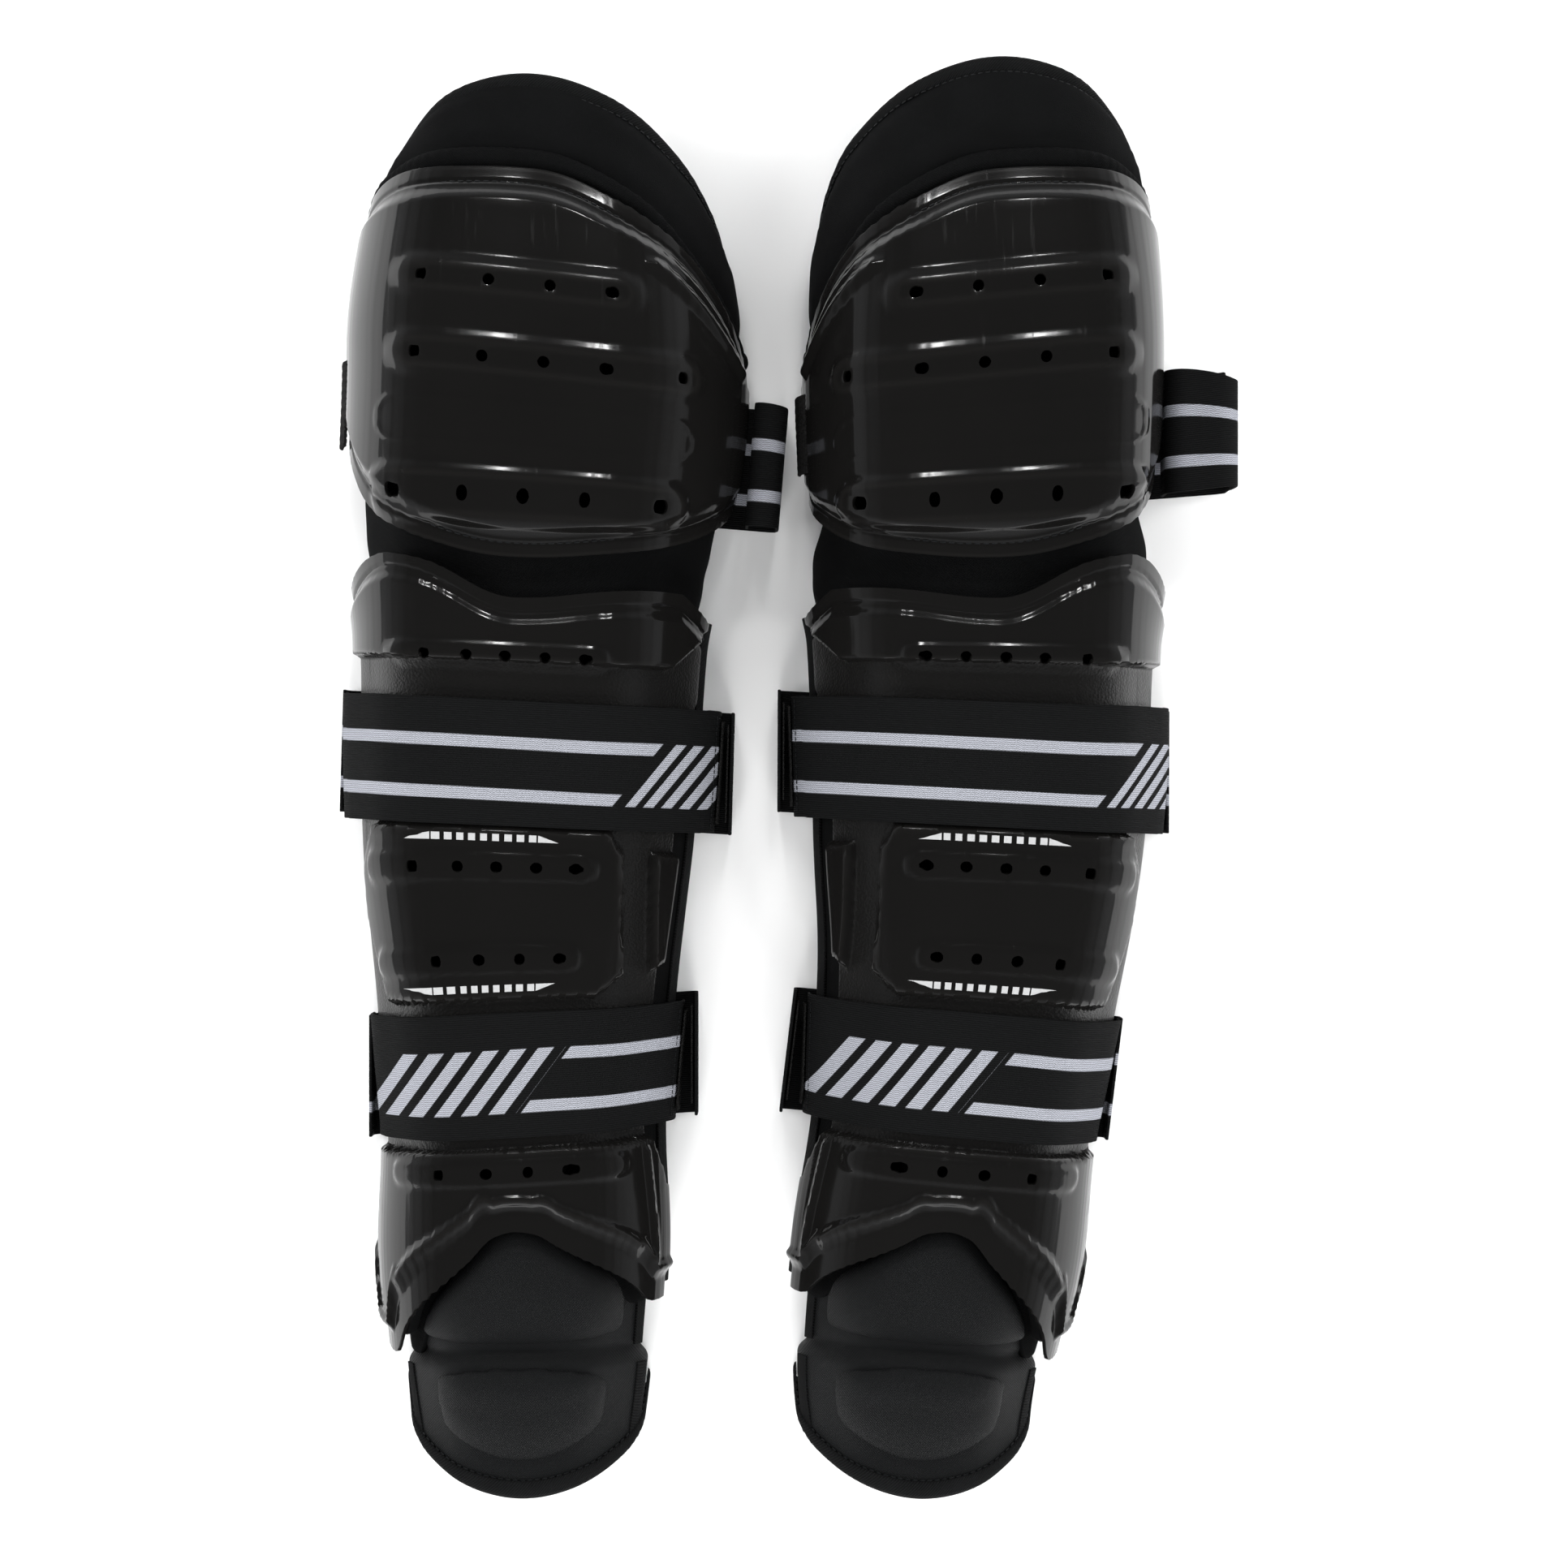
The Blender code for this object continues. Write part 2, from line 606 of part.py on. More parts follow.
def thigh_section(guard, side):
    def flap_top(turn):
        return KNEE_TOP + guard["thigh_reach"] - FLAP_DROP * min(abs(turn - 3), 2.3) ** 2

    def flap_bottom(turn):
        return knee_top(turn) + EDGE_GAP

    def binding_bottom(turn):
        return flap_top(turn) - BINDING_WIDTH

    flap = layer(guard, side + "_thigh_flap", (0, 6),
                 [flap_bottom, between(flap_bottom, flap_top, 0.4), binding_bottom, flap_top],
                 0, FLAP, "black_fabric")
    binding = layer(guard, side + "_thigh_binding", (0.25, 5.75), [binding_bottom, flap_top],
                    FLAP + LAYER_GAP, BINDING, "tape")
    return [flap, binding]


def instep_section(guard, side):
    def binding_top(turn):
        return toe_edge(turn) + BINDING_WIDTH

    tongue = layer(guard, side + "_instep_tongue", (0, 6),
                   [toe_edge, binding_top, between(toe_edge, INSTEP_LEVEL, 0.6), INSTEP_LEVEL],
                   0, INSTEP_PAD, "black_fabric")
    binding = layer(guard, side + "_instep_binding", (0.3, 5.7), [toe_edge, binding_top],
                    INSTEP_PAD + LAYER_GAP, BINDING, "tape")
    low, high = TOE_LEVEL + 0.0165, INSTEP_LEVEL - 0.0065
    pillow = layer(guard, side + "_instep_pillow", (1.7, 4.3),
                   [lambda turn: low + 0.005 * (turn - 3) ** 2, (low + high) / 2,
                    lambda turn: high - 0.005 * (turn - 3) ** 2],
                   INSTEP_PAD + LAYER_GAP, PILLOW, "black_fabric")
    return [tongue, binding, pillow]


def build_guard(side, guard, pair_frame):
    prepare(guard)
    shin, shin_cutters = shin_section(guard, side)
    knee, knee_cutters = knee_section(guard, side)
    thigh = thigh_section(guard, side)
    instep = instep_section(guard, side)
    calf, calf_hinge = back_strap(guard, side + "_calf_strap", CALF_STRAP_LEVEL, CALF_STRAP_SLACK)
    ankle, ankle_hinge = back_strap(guard, side + "_ankle_strap", ANKLE_STRAP_LEVEL, 0.0)
    strap, strap_hinge = knee_strap(guard, side + "_knee_strap")

    middle = guard["x"]
    fold = place(guard, 0, knee_top(0), 0)
    shin_frame = body_frame(side + "_shin_frame", Vector((middle, 0, 0)), pair_frame)
    knee_frame = body_frame(side + "_knee_frame", Vector((middle, KNEE_LEVEL, 0)), shin_frame)
    thigh_frame = body_frame(side + "_thigh_frame", Vector((middle, fold.y, 0)), knee_frame)
    crease = place(guard, 3, INSTEP_LEVEL + 0.0004, INSTEP_PAD / 2)
    instep_frame = body_frame(side + "_instep_frame", crease, shin_frame)
    calf_frame = body_frame(side + "_calf_strap_frame",
                            strap_axis(guard, CALF_STRAP_LEVEL, calf_hinge), shin_frame)
    ankle_frame = body_frame(side + "_ankle_strap_frame",
                             strap_axis(guard, ANKLE_STRAP_LEVEL, ankle_hinge), shin_frame)
    strap_frame = body_frame(side + "_knee_strap_frame",
                             strap_axis(guard, KNEE_STRAP_LEVEL, strap_hinge), knee_frame)
    carry(shin + shin_cutters, shin_frame)
    carry(knee + knee_cutters, knee_frame)
    carry(thigh, thigh_frame)
    carry(instep, instep_frame)
    carry(calf, calf_frame)
    carry(ankle, ankle_frame)
    carry(strap, strap_frame)


def stand_at_origin(pair_frame, collection):
    """Moves the pair so that its box stands on the floor, centred on the origin."""
    bpy.context.view_layer.update()
    graph = bpy.context.evaluated_depsgraph_get()
    low, high = Vector((1e9, 1e9, 1e9)), Vector((-1e9, -1e9, -1e9))
    for obj in collection.objects:
        if obj.type != "MESH":
            continue
        solid = obj.evaluated_get(graph)
        for corner in solid.bound_box:
            point = solid.matrix_world @ Vector(corner)
            low = Vector(map(min, low, point))
            high = Vector(map(max, high, point))
    pair_frame.location = (-(low.x + high.x) / 2, -(low.y + high.y) / 2, -low.z)


def main():
    clear_scene()
    scene = bpy.context.scene
    collection = bpy.data.collections.new("knee_guards")
    cutters = bpy.data.collections.new("knee_guards_cutters")
    scene.collection.children.link(collection)
    scene.collection.children.link(cutters)
    pair_frame = bpy.data.objects.new("pair_frame", None)
    collection.objects.link(pair_frame)
    for side, guard in GUARDS.items():
        guard["collection"] = collection
        guard["cutters"] = cutters
        build_guard(side, guard, pair_frame)
    stand_at_origin(pair_frame, collection)


main()
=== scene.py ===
import json
import math

import bmesh
import bpy
import numpy as np
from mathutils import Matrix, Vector


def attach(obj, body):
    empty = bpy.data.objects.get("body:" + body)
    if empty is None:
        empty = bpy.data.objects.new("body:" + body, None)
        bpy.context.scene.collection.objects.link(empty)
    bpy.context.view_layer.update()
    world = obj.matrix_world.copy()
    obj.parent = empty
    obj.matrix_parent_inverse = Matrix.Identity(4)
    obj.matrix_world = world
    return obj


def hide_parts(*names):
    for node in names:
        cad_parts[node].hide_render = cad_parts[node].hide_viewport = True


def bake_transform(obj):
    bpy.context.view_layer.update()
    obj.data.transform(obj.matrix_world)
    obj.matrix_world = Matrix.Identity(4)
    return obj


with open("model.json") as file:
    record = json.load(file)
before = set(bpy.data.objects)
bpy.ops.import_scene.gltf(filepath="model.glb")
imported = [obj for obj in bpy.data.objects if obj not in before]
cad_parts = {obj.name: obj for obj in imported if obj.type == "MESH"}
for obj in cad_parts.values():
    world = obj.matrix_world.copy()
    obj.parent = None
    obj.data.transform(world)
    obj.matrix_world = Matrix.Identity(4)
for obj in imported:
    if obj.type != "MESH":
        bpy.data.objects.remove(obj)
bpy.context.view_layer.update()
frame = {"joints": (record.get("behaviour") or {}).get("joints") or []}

bpy.ops.object.select_all(action="DESELECT")

# The leg's shape, as the frame has it, in metres
legShape = {
    "kneeLevel": 0.088, "kneeLength": 0.162, "shinLength": 0.266,
    "outerTip": 0.0525, "innerTip": 0.0325, "instepLength": 0.0575, "tipGap": 0.0018,
    "shoulderShare": 0.38, "crown": 0.0025, "facetShift": 0.0055, "corner": 0.6, "tallest": 0.066,
    "rimInset": 0.0103, "shellFoot": 0.0036, "valley": 0.0135, "toeRound": 0.0049,
}
layers = {  # thicknesses, and how far each layer's lower face is off the leg
    "liner": 0.003, "foam": 0.005, "shell": 0.0022, "strap": 0.0013, "patch": 0.0007,
    "foamLift": 0.0038, "shellLift": 0.0098, "frontLift": 0.0128, "loopLift": 0.0149,
    "hookLift": 0.0164, "tabLift": 0.0179, "floorGap": 0.0006,
}
straps = {
    "width": 0.050, "calf": 0.297, "ankle": 0.763, "knee": 0.300, "calfSlack": 0.004, "tabHeight": 0.019,
    "tabBend": 0.003, "loopHeight": 0.034, "loopBend": 0.007, "notchMargin": 0.0025, "notchRamp": 0.004,
}
guards = {
    "left": {"mirror": 1, "x": -0.105, "kneeHalf": 0.0, "thighReach": 0.033,
    "loopReach": 0.012, "ticks": -0.0155,
    "centre": (0.0095, 0.004, 0.0015, 0, 0, 0, 0),
    "skew": (-0.11, -0.04, -0.06, 0, 0.07, 0.04, 0)},
    "right": {"mirror": -1, "x": 0.080, "kneeHalf": -0.009, "thighReach": 0.041,
    "loopReach": 0.028, "ticks": -0.0060,
    "centre": (0, 0, 0, 0.002, 0.009, 0.018, 0.027),
    "skew": (-0.10, -0.02, 0.055, 0.045, 0.09, 0.08, 0.05)},
}

shellTop, strapTop = layers["shellLift"] + layers["shell"], layers["frontLift"] + layers["strap"]
kneeLevel = legShape["kneeLevel"]
kneeTop = kneeLevel + legShape["kneeLength"]
archLevel = kneeLevel - legShape["shinLength"]
tipLevel = archLevel - legShape["outerTip"]
instepLevel = tipLevel - legShape["tipGap"]
toeLevel = instepLevel - legShape["instepLength"]


def kneeAt(share):
    return kneeLevel + share * legShape["kneeLength"]


def shinAt(share):
    return kneeLevel - share * legShape["shinLength"]


calfLevel, ankleLevel, strapLevel = shinAt(straps["calf"]), shinAt(straps["ankle"]), kneeAt(straps["knee"])
kneeJoint = next(j for j in frame["joints"] if j["name"] == "left_knee_flex")
shift = np.array(kneeJoint["pos_m"]) - (guards["left"]["x"], kneeLevel, 0)


def prepareGuard(guard):
    half = guard["kneeHalf"]
    table = [  # level, half width, height, front facet's half width
        (toeLevel, 0.040, 0.017, 0.022), (instepLevel, 0.045, 0.031, 0.027),
        (shinAt(1.03), 0.048, 0.037, 0.028), (shinAt(0.875), 0.0465, 0.040, 0.027),
        (shinAt(0.65), 0.051, 0.044, 0.031), (shinAt(0.40), 0.0575, 0.048, 0.039),
        (shinAt(0.12), 0.0605, 0.054, 0.040), (kneeAt(0), 0.0655, 0.057, 0.041),
        (kneeAt(0.18), 0.069 + half, 0.064, 0.043), (kneeAt(0.50), 0.0705 + half, 0.066, 0.044),
        (kneeAt(0.83), 0.064 + half / 2, 0.057, 0.040), (kneeAt(1.03), 0.056, 0.046, 0.034),
        (kneeTop + 0.045, 0.050, 0.034, 0.030)]
    guard["levels"] = [row[0] for row in table]
    guard["sizes"] = [[row[k] for row in table] for k in (1, 2, 3)]
    lies = [kneeAt(0.5), kneeAt(0), shinAt(0.3), shinAt(0.52), shinAt(0.76), shinAt(1.03), shinAt(1.3)]
    guard["lieLevels"] = lies[::-1]
    guard["lieCentre"], guard["lieSkew"] = guard["centre"][::-1], guard["skew"][::-1]


def smoothCurve(levels, values, v):
    levels, values = np.array(levels, float), np.array(values, float)
    rise = np.diff(values) / np.diff(levels)
    slopes = np.zeros(len(levels))
    together = rise[:-1] * rise[1:] > 0
    total = np.where(together, rise[:-1] + rise[1:], 1)
    slopes[1:-1] = np.where(together, 2 * rise[:-1] * rise[1:] / total, 0)
    v = np.clip(v, levels[0], levels[-1])
    i = np.clip(np.searchsorted(levels, v, side="right") - 1, 0, len(levels) - 2)
    span = levels[i + 1] - levels[i]
    s = (v - levels[i]) / span
    bend = slopes[i] * (s - 2 * s**2 + s**3) + slopes[i + 1] * (s**3 - s**2)
    return values[i] + (values[i + 1] - values[i]) * (3 * s**2 - 2 * s**3) + bend * span


def floorEdge(v):
    height = np.zeros_like(v)
    for level in (calfLevel, ankleLevel, strapLevel):
        beyond = np.abs(v - level) - straps["width"] / 2 - straps["notchMargin"]
        rise = np.clip(1 - beyond / straps["notchRamp"], 0, 1)
        height = np.maximum(height, (layers["strap"] + layers["floorGap"]) * rise)
    return height


def sizesAt(guard, v):
    return [smoothCurve(guard["levels"], column, v) for column in guard["sizes"]]


cornerBlur = [(k / 6, (1 + math.cos(math.pi * k / 6)) / 12) for k in range(-5, 6)]  # the weights add up to 1


def legPoint(guard, turn, v):
    half, height, facet = sizesAt(guard, v)
    shoulder, edge = legShape["shoulderShare"] * height, floorEdge(v)
    middle = -legShape["facetShift"] * np.minimum(1, height / legShape["tallest"])
    xs = np.stack([-half, -half, middle - facet, middle, middle + facet, half, half])
    zs = np.stack([edge, shoulder, height, height + legShape["crown"], height, shoulder, edge])
    point = np.arange(len(v))
    x, z = 0, 0
    for step, weight in cornerBlur:
        at = turn + legShape["corner"] * step
        k = np.clip(np.floor(at), 0, 5).astype(int)
        share = at - k
        x = x + weight * (xs[k, point] * (1 - share) + xs[k + 1, point] * share)
        z = z + weight * (zs[k, point] * (1 - share) + zs[k + 1, point] * share)
    centre = smoothCurve(guard["lieLevels"], guard["lieCentre"], v)
    skew = smoothCurve(guard["lieLevels"], guard["lieSkew"], v)
    return np.stack([centre + x, v + skew * x, z], axis=1)


def facetAt(guard, level):  # the front facet's half width
    return sizesAt(guard, np.array([level]))[2][0]


def toPair(guard, point):  # from the leg's own x, y, z to the guard's place beside the other
    return np.stack([guard["x"] + guard["mirror"] * point[:, 0], point[:, 1], point[:, 2]], axis=1) + shift


def wrap(guard, turn, v, lift):
    turn, v = np.broadcast_arrays(np.asarray(turn, float), np.asarray(v, float))
    step = 0.001
    across = legPoint(guard, turn + step, v) - legPoint(guard, turn - step, v)
    up = legPoint(guard, turn, v + step) - legPoint(guard, turn, v - step)
    up[:, 2] = np.where((turn < 1) | (turn > 5), 0, up[:, 2])
    normal = np.cross(across, up)
    normal /= np.linalg.norm(normal, axis=1)[:, None]
    return toPair(guard, legPoint(guard, turn, v) + normal * np.reshape(lift * np.ones(len(turn)), (-1, 1)))


# Outlines, as levels by turn; the outer side is below 3


def kneeRim(turn):
    away = np.minimum(np.abs(turn - 3), 2.3)
    outer = 0.0034 * away**2 + 0.030 * np.maximum(0, away - 1.9) ** 2
    return kneeTop - np.where(turn < 3, outer, 0.0135 * np.minimum(away, 2.2) ** 2)


def kneeShellTop(turn):
    return kneeRim(turn) - legShape["rimInset"]


def kneeShellBottom(turn):
    away = np.abs(turn - 3)
    rise = np.where(turn < 3, 0.0100 * np.minimum(away, 2) ** 2, 0.0050 * np.minimum(away, 2.3) ** 2)
    return kneeLevel + legShape["shellFoot"] + rise


def shinShellTop(turn):
    away = np.abs(turn - 3)
    outer = 0.0178 * np.sin(math.pi / 2 * np.minimum(away / 1.15, 1)) ** 2
    outer -= 0.016 * np.maximum(0, away - 1.15) ** 1.2
    inner = 0.0056 * np.sin(math.pi / 2 * np.minimum(away / 1.3, 1)) ** 2 - 0.020 * np.maximum(0, away - 1.5)
    return kneeLevel - legShape["valley"] + np.where(turn < 3, outer, inner)


archAway = [0, 0.25, 0.6, 1.0, 1.45, 1.80, 2.10, 2.6]
archDip = [0, 0.035, 0.215, 0.455, 0.745, 0.965, 0.940, 0.60]


def archLine(turn):
    reach = np.where(turn < 3, legShape["outerTip"], legShape["innerTip"])
    return archLevel - reach * smoothCurve(archAway, archDip, np.abs(turn - 3))


def linerBottom(turn):
    return np.maximum(archLine(turn) - 0.003, tipLevel - 0.001)


def toeEdge(turn):
    return toeLevel + legShape["toeRound"] * (turn - 3) ** 2


def flapTop(guard, turn):
    away = np.minimum(np.abs(turn - 3), 2.3)
    drop = np.where(turn < 3, 0.0095 * away**2, 0.0085 * away**2 + 0.030 * np.maximum(0, away - 1.7) ** 2)
    return kneeTop + guard["thighReach"] - drop


def ease(x):
    x = np.clip(x, 0, 1)
    return x * x * (3 - 2 * x)


def offset(outline, rise):
    return lambda turn: outline(turn) + rise


def flat(level):
    return lambda turn: level + 0 * turn


def only(*pieces):  # what the next operator acts on
    bpy.ops.object.select_all(action="DESELECT")
    bpy.context.view_layer.objects.active = pieces[0]
    for piece in pieces:
        piece.select_set(True)


def applyModifiers(piece):
    only(piece)
    for modifier in list(piece.modifiers):
        bpy.ops.object.modifier_apply(modifier=modifier.name)
    piece.select_set(False)


def pointsOf(piece):
    points = np.empty(len(piece.data.vertices) * 3)
    piece.data.vertices.foreach_get("co", points)
    return points.reshape(-1, 3)


def drape(name, columns, rows, at):  # a grid laid where at(s, t) says, with its weave in metres
    bpy.ops.object.select_all(action="DESELECT")
    bpy.ops.mesh.primitive_grid_add(x_subdivisions=columns, y_subdivisions=rows, size=2)
    piece = bpy.context.object
    piece.name = piece.data.name = name
    square = pointsOf(piece)
    s, t = (square[:, 0] + 1) / 2, (square[:, 1] + 1) / 2
    points = at(s, t)
    piece.data.vertices.foreach_set("co", points.ravel())
    order = np.lexsort((s, t))
    grid = points[order].reshape(rows + 1, columns + 1, 3)
    across, along = np.zeros((rows + 1, columns + 1)), np.zeros((rows + 1, columns + 1))
    across[:, 1:] = np.cumsum(np.linalg.norm(np.diff(grid, axis=1), axis=2), axis=1)
    across -= across[:, [columns // 2]]
    along[1:] = np.cumsum(np.linalg.norm(np.diff(grid, axis=0), axis=2), axis=0)
    uv = np.empty((len(order), 2))
    uv[order] = np.stack([across.ravel(), along.ravel()], axis=1)
    setUv(piece, piece.data.uv_layers[0], uv)
    piece.data.uv_layers[0].name = "weave"
    piece.select_set(False)
    return piece, s, t


def setUv(piece, layer, uv):
    corner = np.empty(len(piece.data.loops), int)
    piece.data.loops.foreach_get("vertex_index", corner)
    layer.data.foreach_set("uv", uv[corner].astype(np.float32).ravel())


def setMask(piece, name, values):
    mask = piece.data.attributes.new(name, "FLOAT", "POINT")
    mask.data.foreach_set("value", values.astype(np.float32))


def sideways(guard, first, last, s):  # the turn at s, so that s runs to +X on both guards
    return first + (last - first) * (s if guard["mirror"] > 0 else 1 - s)


def thicken(piece, thickness, offset, rim=0.0, segments=2):
    solid = piece.modifiers.new("thickness", "SOLIDIFY")
    solid.thickness, solid.offset, solid.use_even_offset = thickness, offset, False
    if rim:
        bevel = piece.modifiers.new("rim", "BEVEL")
        bevel.width, bevel.segments, bevel.limit_method = rim, segments, "ANGLE"
        bevel.angle_limit = math.radians(70)
    applyModifiers(piece)


def settle(piece, material, slot, body, *nodes, fill=None, sharp=40):  # finished, and in place of its CAD nodes
    piece.data.materials.clear()
    piece.data.materials.append(material)
    only(piece)
    bpy.ops.object.shade_smooth_by_angle(angle=math.radians(sharp))
    piece.select_set(False)
    if nodes:
        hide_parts(*nodes)
    if body:
        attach(piece, body)
    return piece


def joined(name, pieces):
    only(*pieces)
    bpy.ops.object.join()
    pieces[0].name = pieces[0].data.name = name
    pieces[0].select_set(False)
    return pieces[0]


def copiesOf(name, prototype, places):  # all the copies in one mesh
    base = pointsOf(prototype)
    faces = [list(face.vertices) for face in prototype.data.polygons]
    points, polygons = [], []
    for turn, spot in places:
        start = len(base) * len(points)
        points.append(base @ np.array(turn).T + np.array(spot))
        polygons += [[k + start for k in face] for face in faces]
    mesh = bpy.data.meshes.new(name)
    mesh.from_pydata(np.concatenate(points).tolist(), [], polygons)
    piece = bpy.data.objects.new(name, mesh)
    bpy.context.scene.collection.objects.link(piece)
    return piece


def makeStitch(length, radius):  # a ball drawn out along X
    bpy.ops.object.select_all(action="DESELECT")
    bpy.ops.mesh.primitive_uv_sphere_add(segments=8, ring_count=6, radius=radius)
    stitch = bpy.context.object
    for vertex in stitch.data.vertices:
        x, y, z = vertex.co
        reach = math.copysign(max(0.0, length / 2 - radius), z) if abs(z) > radius * 0.1 else 0
        vertex.co = (z + reach, y, x)
    bpy.ops.object.mode_set(mode="EDIT")
    bpy.ops.mesh.select_all(action="SELECT")
    bpy.ops.mesh.normals_make_consistent(inside=False)
    bpy.ops.object.mode_set(mode="OBJECT")
    return stitch


stitches = {  # spacing, length, radius
    "shell": (0.0034, 0.0024, 0.00042), "tape": (0.0030, 0.0020, 0.0003), "strap": (0.0022, 0.0016, 0.00022),
}


def unit(vector):
    return vector / np.linalg.norm(vector)


def stitchRow(name, guard, path, lift, kind, slot, body):  # path: turns and levels
    turns, levels = path
    line = wrap(guard, turns, levels, lift)
    above = wrap(guard, turns, levels, lift + 0.001)
    run = np.concatenate([[0], np.cumsum(np.linalg.norm(np.diff(line, axis=0), axis=1))])
    spacing, length, radius = stitches[kind]
    stitch = makeStitch(length, radius)
    places = []
    for distance in np.arange(spacing / 2, run[-1], spacing):
        k = min(np.searchsorted(run, distance) - 1, len(line) - 2)
        share = (distance - run[k]) / (run[k + 1] - run[k])
        spot = line[k] * (1 - share) + line[k + 1] * share
        ahead = unit(line[k + 1] - line[k])
        side = unit(np.cross(unit(above[k] - line[k]), ahead))
        places.append((np.stack([ahead, side, np.cross(ahead, side)], axis=1), spot))
    row = copiesOf(name, stitch, places)
    bpy.data.objects.remove(stitch)
    return settle(row, thread, slot, body)


class Wire:  # a shader socket that takes part in sums
    def __init__(self, tree, socket):
        self.tree, self.socket = tree, socket

    def sum(self, operation, *values):
        node = self.tree.nodes.new("ShaderNodeMath")
        node.operation = operation
        feed(self.tree, node, dict(enumerate(values)))
        return Wire(self.tree, node.outputs[0])

    def __add__(self, other):
        return self.sum("ADD", self, other)

    def __sub__(self, other):
        return self.sum("SUBTRACT", self, other)

    def __rsub__(self, other):
        return self.sum("SUBTRACT", other, self)

    def __mul__(self, other):
        return self.sum("MULTIPLY", self, other)

    __radd__, __rmul__ = __add__, __mul__

    def sin(self):
        return self.sum("SINE", self)

    def wrapped(self, span):
        return self.sum("FLOORED_MODULO", self, span)

    def above(self, level, soft):
        node = self.tree.nodes.new("ShaderNodeMapRange")
        node.interpolation_type = "SMOOTHSTEP"
        feed(self.tree, node, {"Value": self, "From Min": level - soft, "From Max": level + soft})
        return Wire(self.tree, node.outputs[0])


def feed(tree, node, values):
    for name, value in values.items():
        if isinstance(value, Wire):
            tree.links.new(value.socket, node.inputs[name])
        else:
            node.inputs[name].default_value = value


class Finish:  # one material and its nodes
    def __init__(self, name, specular=0.5, ior=None):
        self.material = bpy.data.materials.new(name)
        self.material.use_nodes = True
        self.tree = self.material.node_tree
        self.shader = self.tree.nodes["Principled BSDF"]
        self.shader.inputs["Specular IOR Level"].default_value = specular
        if ior:
            self.shader.inputs["IOR"].default_value = ior

    def add(self, kind, settings, values, output=0):
        node = self.tree.nodes.new(kind)
        for name, value in settings.items():
            setattr(node, name, value)
        feed(self.tree, node, values)
        return Wire(self.tree, node.outputs[output])

    def place(self):
        return self.add("ShaderNodeTexCoord", {}, {}, "Object")

    def uv(self, name):
        spot = self.add("ShaderNodeUVMap", {"uv_map": name}, {})
        return (self.add("ShaderNodeSeparateXYZ", {}, {0: spot}, axis) for axis in (0, 1))

    def mask(self, name):
        return self.add("ShaderNodeAttribute", {"attribute_name": name}, {}, "Fac")

    def noise(self, scale, detail=3.0, spot=None):
        values = {"Vector": spot or self.place(), "Scale": scale, "Detail": detail}
        return self.add("ShaderNodeTexNoise", {}, values)

    def blend(self, factor, first, second):
        node = self.tree.nodes.new("ShaderNodeMix")
        node.data_type = "RGBA"
        feed(self.tree, node, {0: factor, 6: first, 7: second})
        return Wire(self.tree, node.outputs[2])

    def finish(self, colour, roughness, height=None, strength=1.0, distance=0.001):
        found = {"Base Color": colour, "Roughness": roughness}
        if height is not None:
            bump = {"Strength": strength, "Distance": distance, "Height": height}
            found["Normal"] = self.add("ShaderNodeBump", {}, bump)
        feed(self.tree, self.shader, found)
        return self.material


def grey(level, warm=0.0):
    return (level * (1 + warm), level, level * (1 - warm), 1)


def makePlastic():
    f = Finish("glossBlackPlastic", ior=1.38)
    spot = f.place()
    cloud = f.noise(14, 4, spot)
    stretched = f.add("ShaderNodeMapping", {}, {"Vector": spot, "Scale": (420, 26, 60), "Rotation": (0, 0, 0.5)})
    scratch = f.noise(1, 5, stretched).above(0.66, 0.05)
    pebble = f.add("ShaderNodeTexVoronoi", {}, {"Vector": spot, "Scale": 950}, "Distance")
    grained = f.mask("grained")
    worn = f.mask("worn")
    # Painted highlight: the masked rib outlines, rims, panel edges and arch crest are lighter in colour
    colour = f.blend(cloud * 0.5 + worn * 0.6, grey(0.0034, 0.04), grey(0.0060, 0.05))
    roughness = 0.11 + cloud * 0.04 + scratch * 0.10 + grained * 0.28 + worn * 0.05
    height = grained * pebble * -0.9 + f.noise(90, 2, spot) * 0.10 + scratch * -0.04
    return f.finish(colour, roughness, height, 0.35, 0.0006)


def makeKnit(name, dark, light, pitch):
    f = Finish(name, 0.04)
    u, v = f.uv("weave")
    across, along = (u * (2 * math.pi / pitch)).sin(), (v * (2 * math.pi / pitch)).sin()
    thread = across * along * 0.5 + 0.5
    cloud = f.noise(60, 4)
    fuzz = f.noise(2200, 2)
    colour = f.blend(thread * 0.4 + cloud * 0.6, grey(dark), grey(light, -0.04))
    return f.finish(colour, 0.86 + cloud * 0.1, thread * 0.7 + fuzz * 0.6, 0.6, 0.0004)


def makePadKnit():
    f = Finish("padKnit", 0.25)
    spot = f.place()
    x, y = (f.add("ShaderNodeSeparateXYZ", {}, {0: spot}, axis) for axis in (0, 1))
    thread = (x * 6283).sin() * (y * 5400).sin() * 0.5 + 0.5
    cloud = f.noise(45, 4, spot)
    colour = f.blend(thread * 0.5 + cloud * 0.4, grey(0.0030), grey(0.0072, -0.06))
    return f.finish(colour, 0.60 + cloud * 0.14, thread + f.noise(1800, 2, spot) * 0.5, 0.5, 0.0004)


def makeTape():
    f = Finish("twillTape", 0.06)
    u, v = f.uv("weave")
    twill = ((u + v) * 5200).sin() * 0.5 + 0.5
    cloud = f.noise(80, 3)
    colour = f.blend(twill * 0.5 + cloud * 0.5, grey(0.003), grey(0.0085, -0.03))
    return f.finish(colour, 0.8 + cloud * 0.1, twill, 0.7, 0.0005)


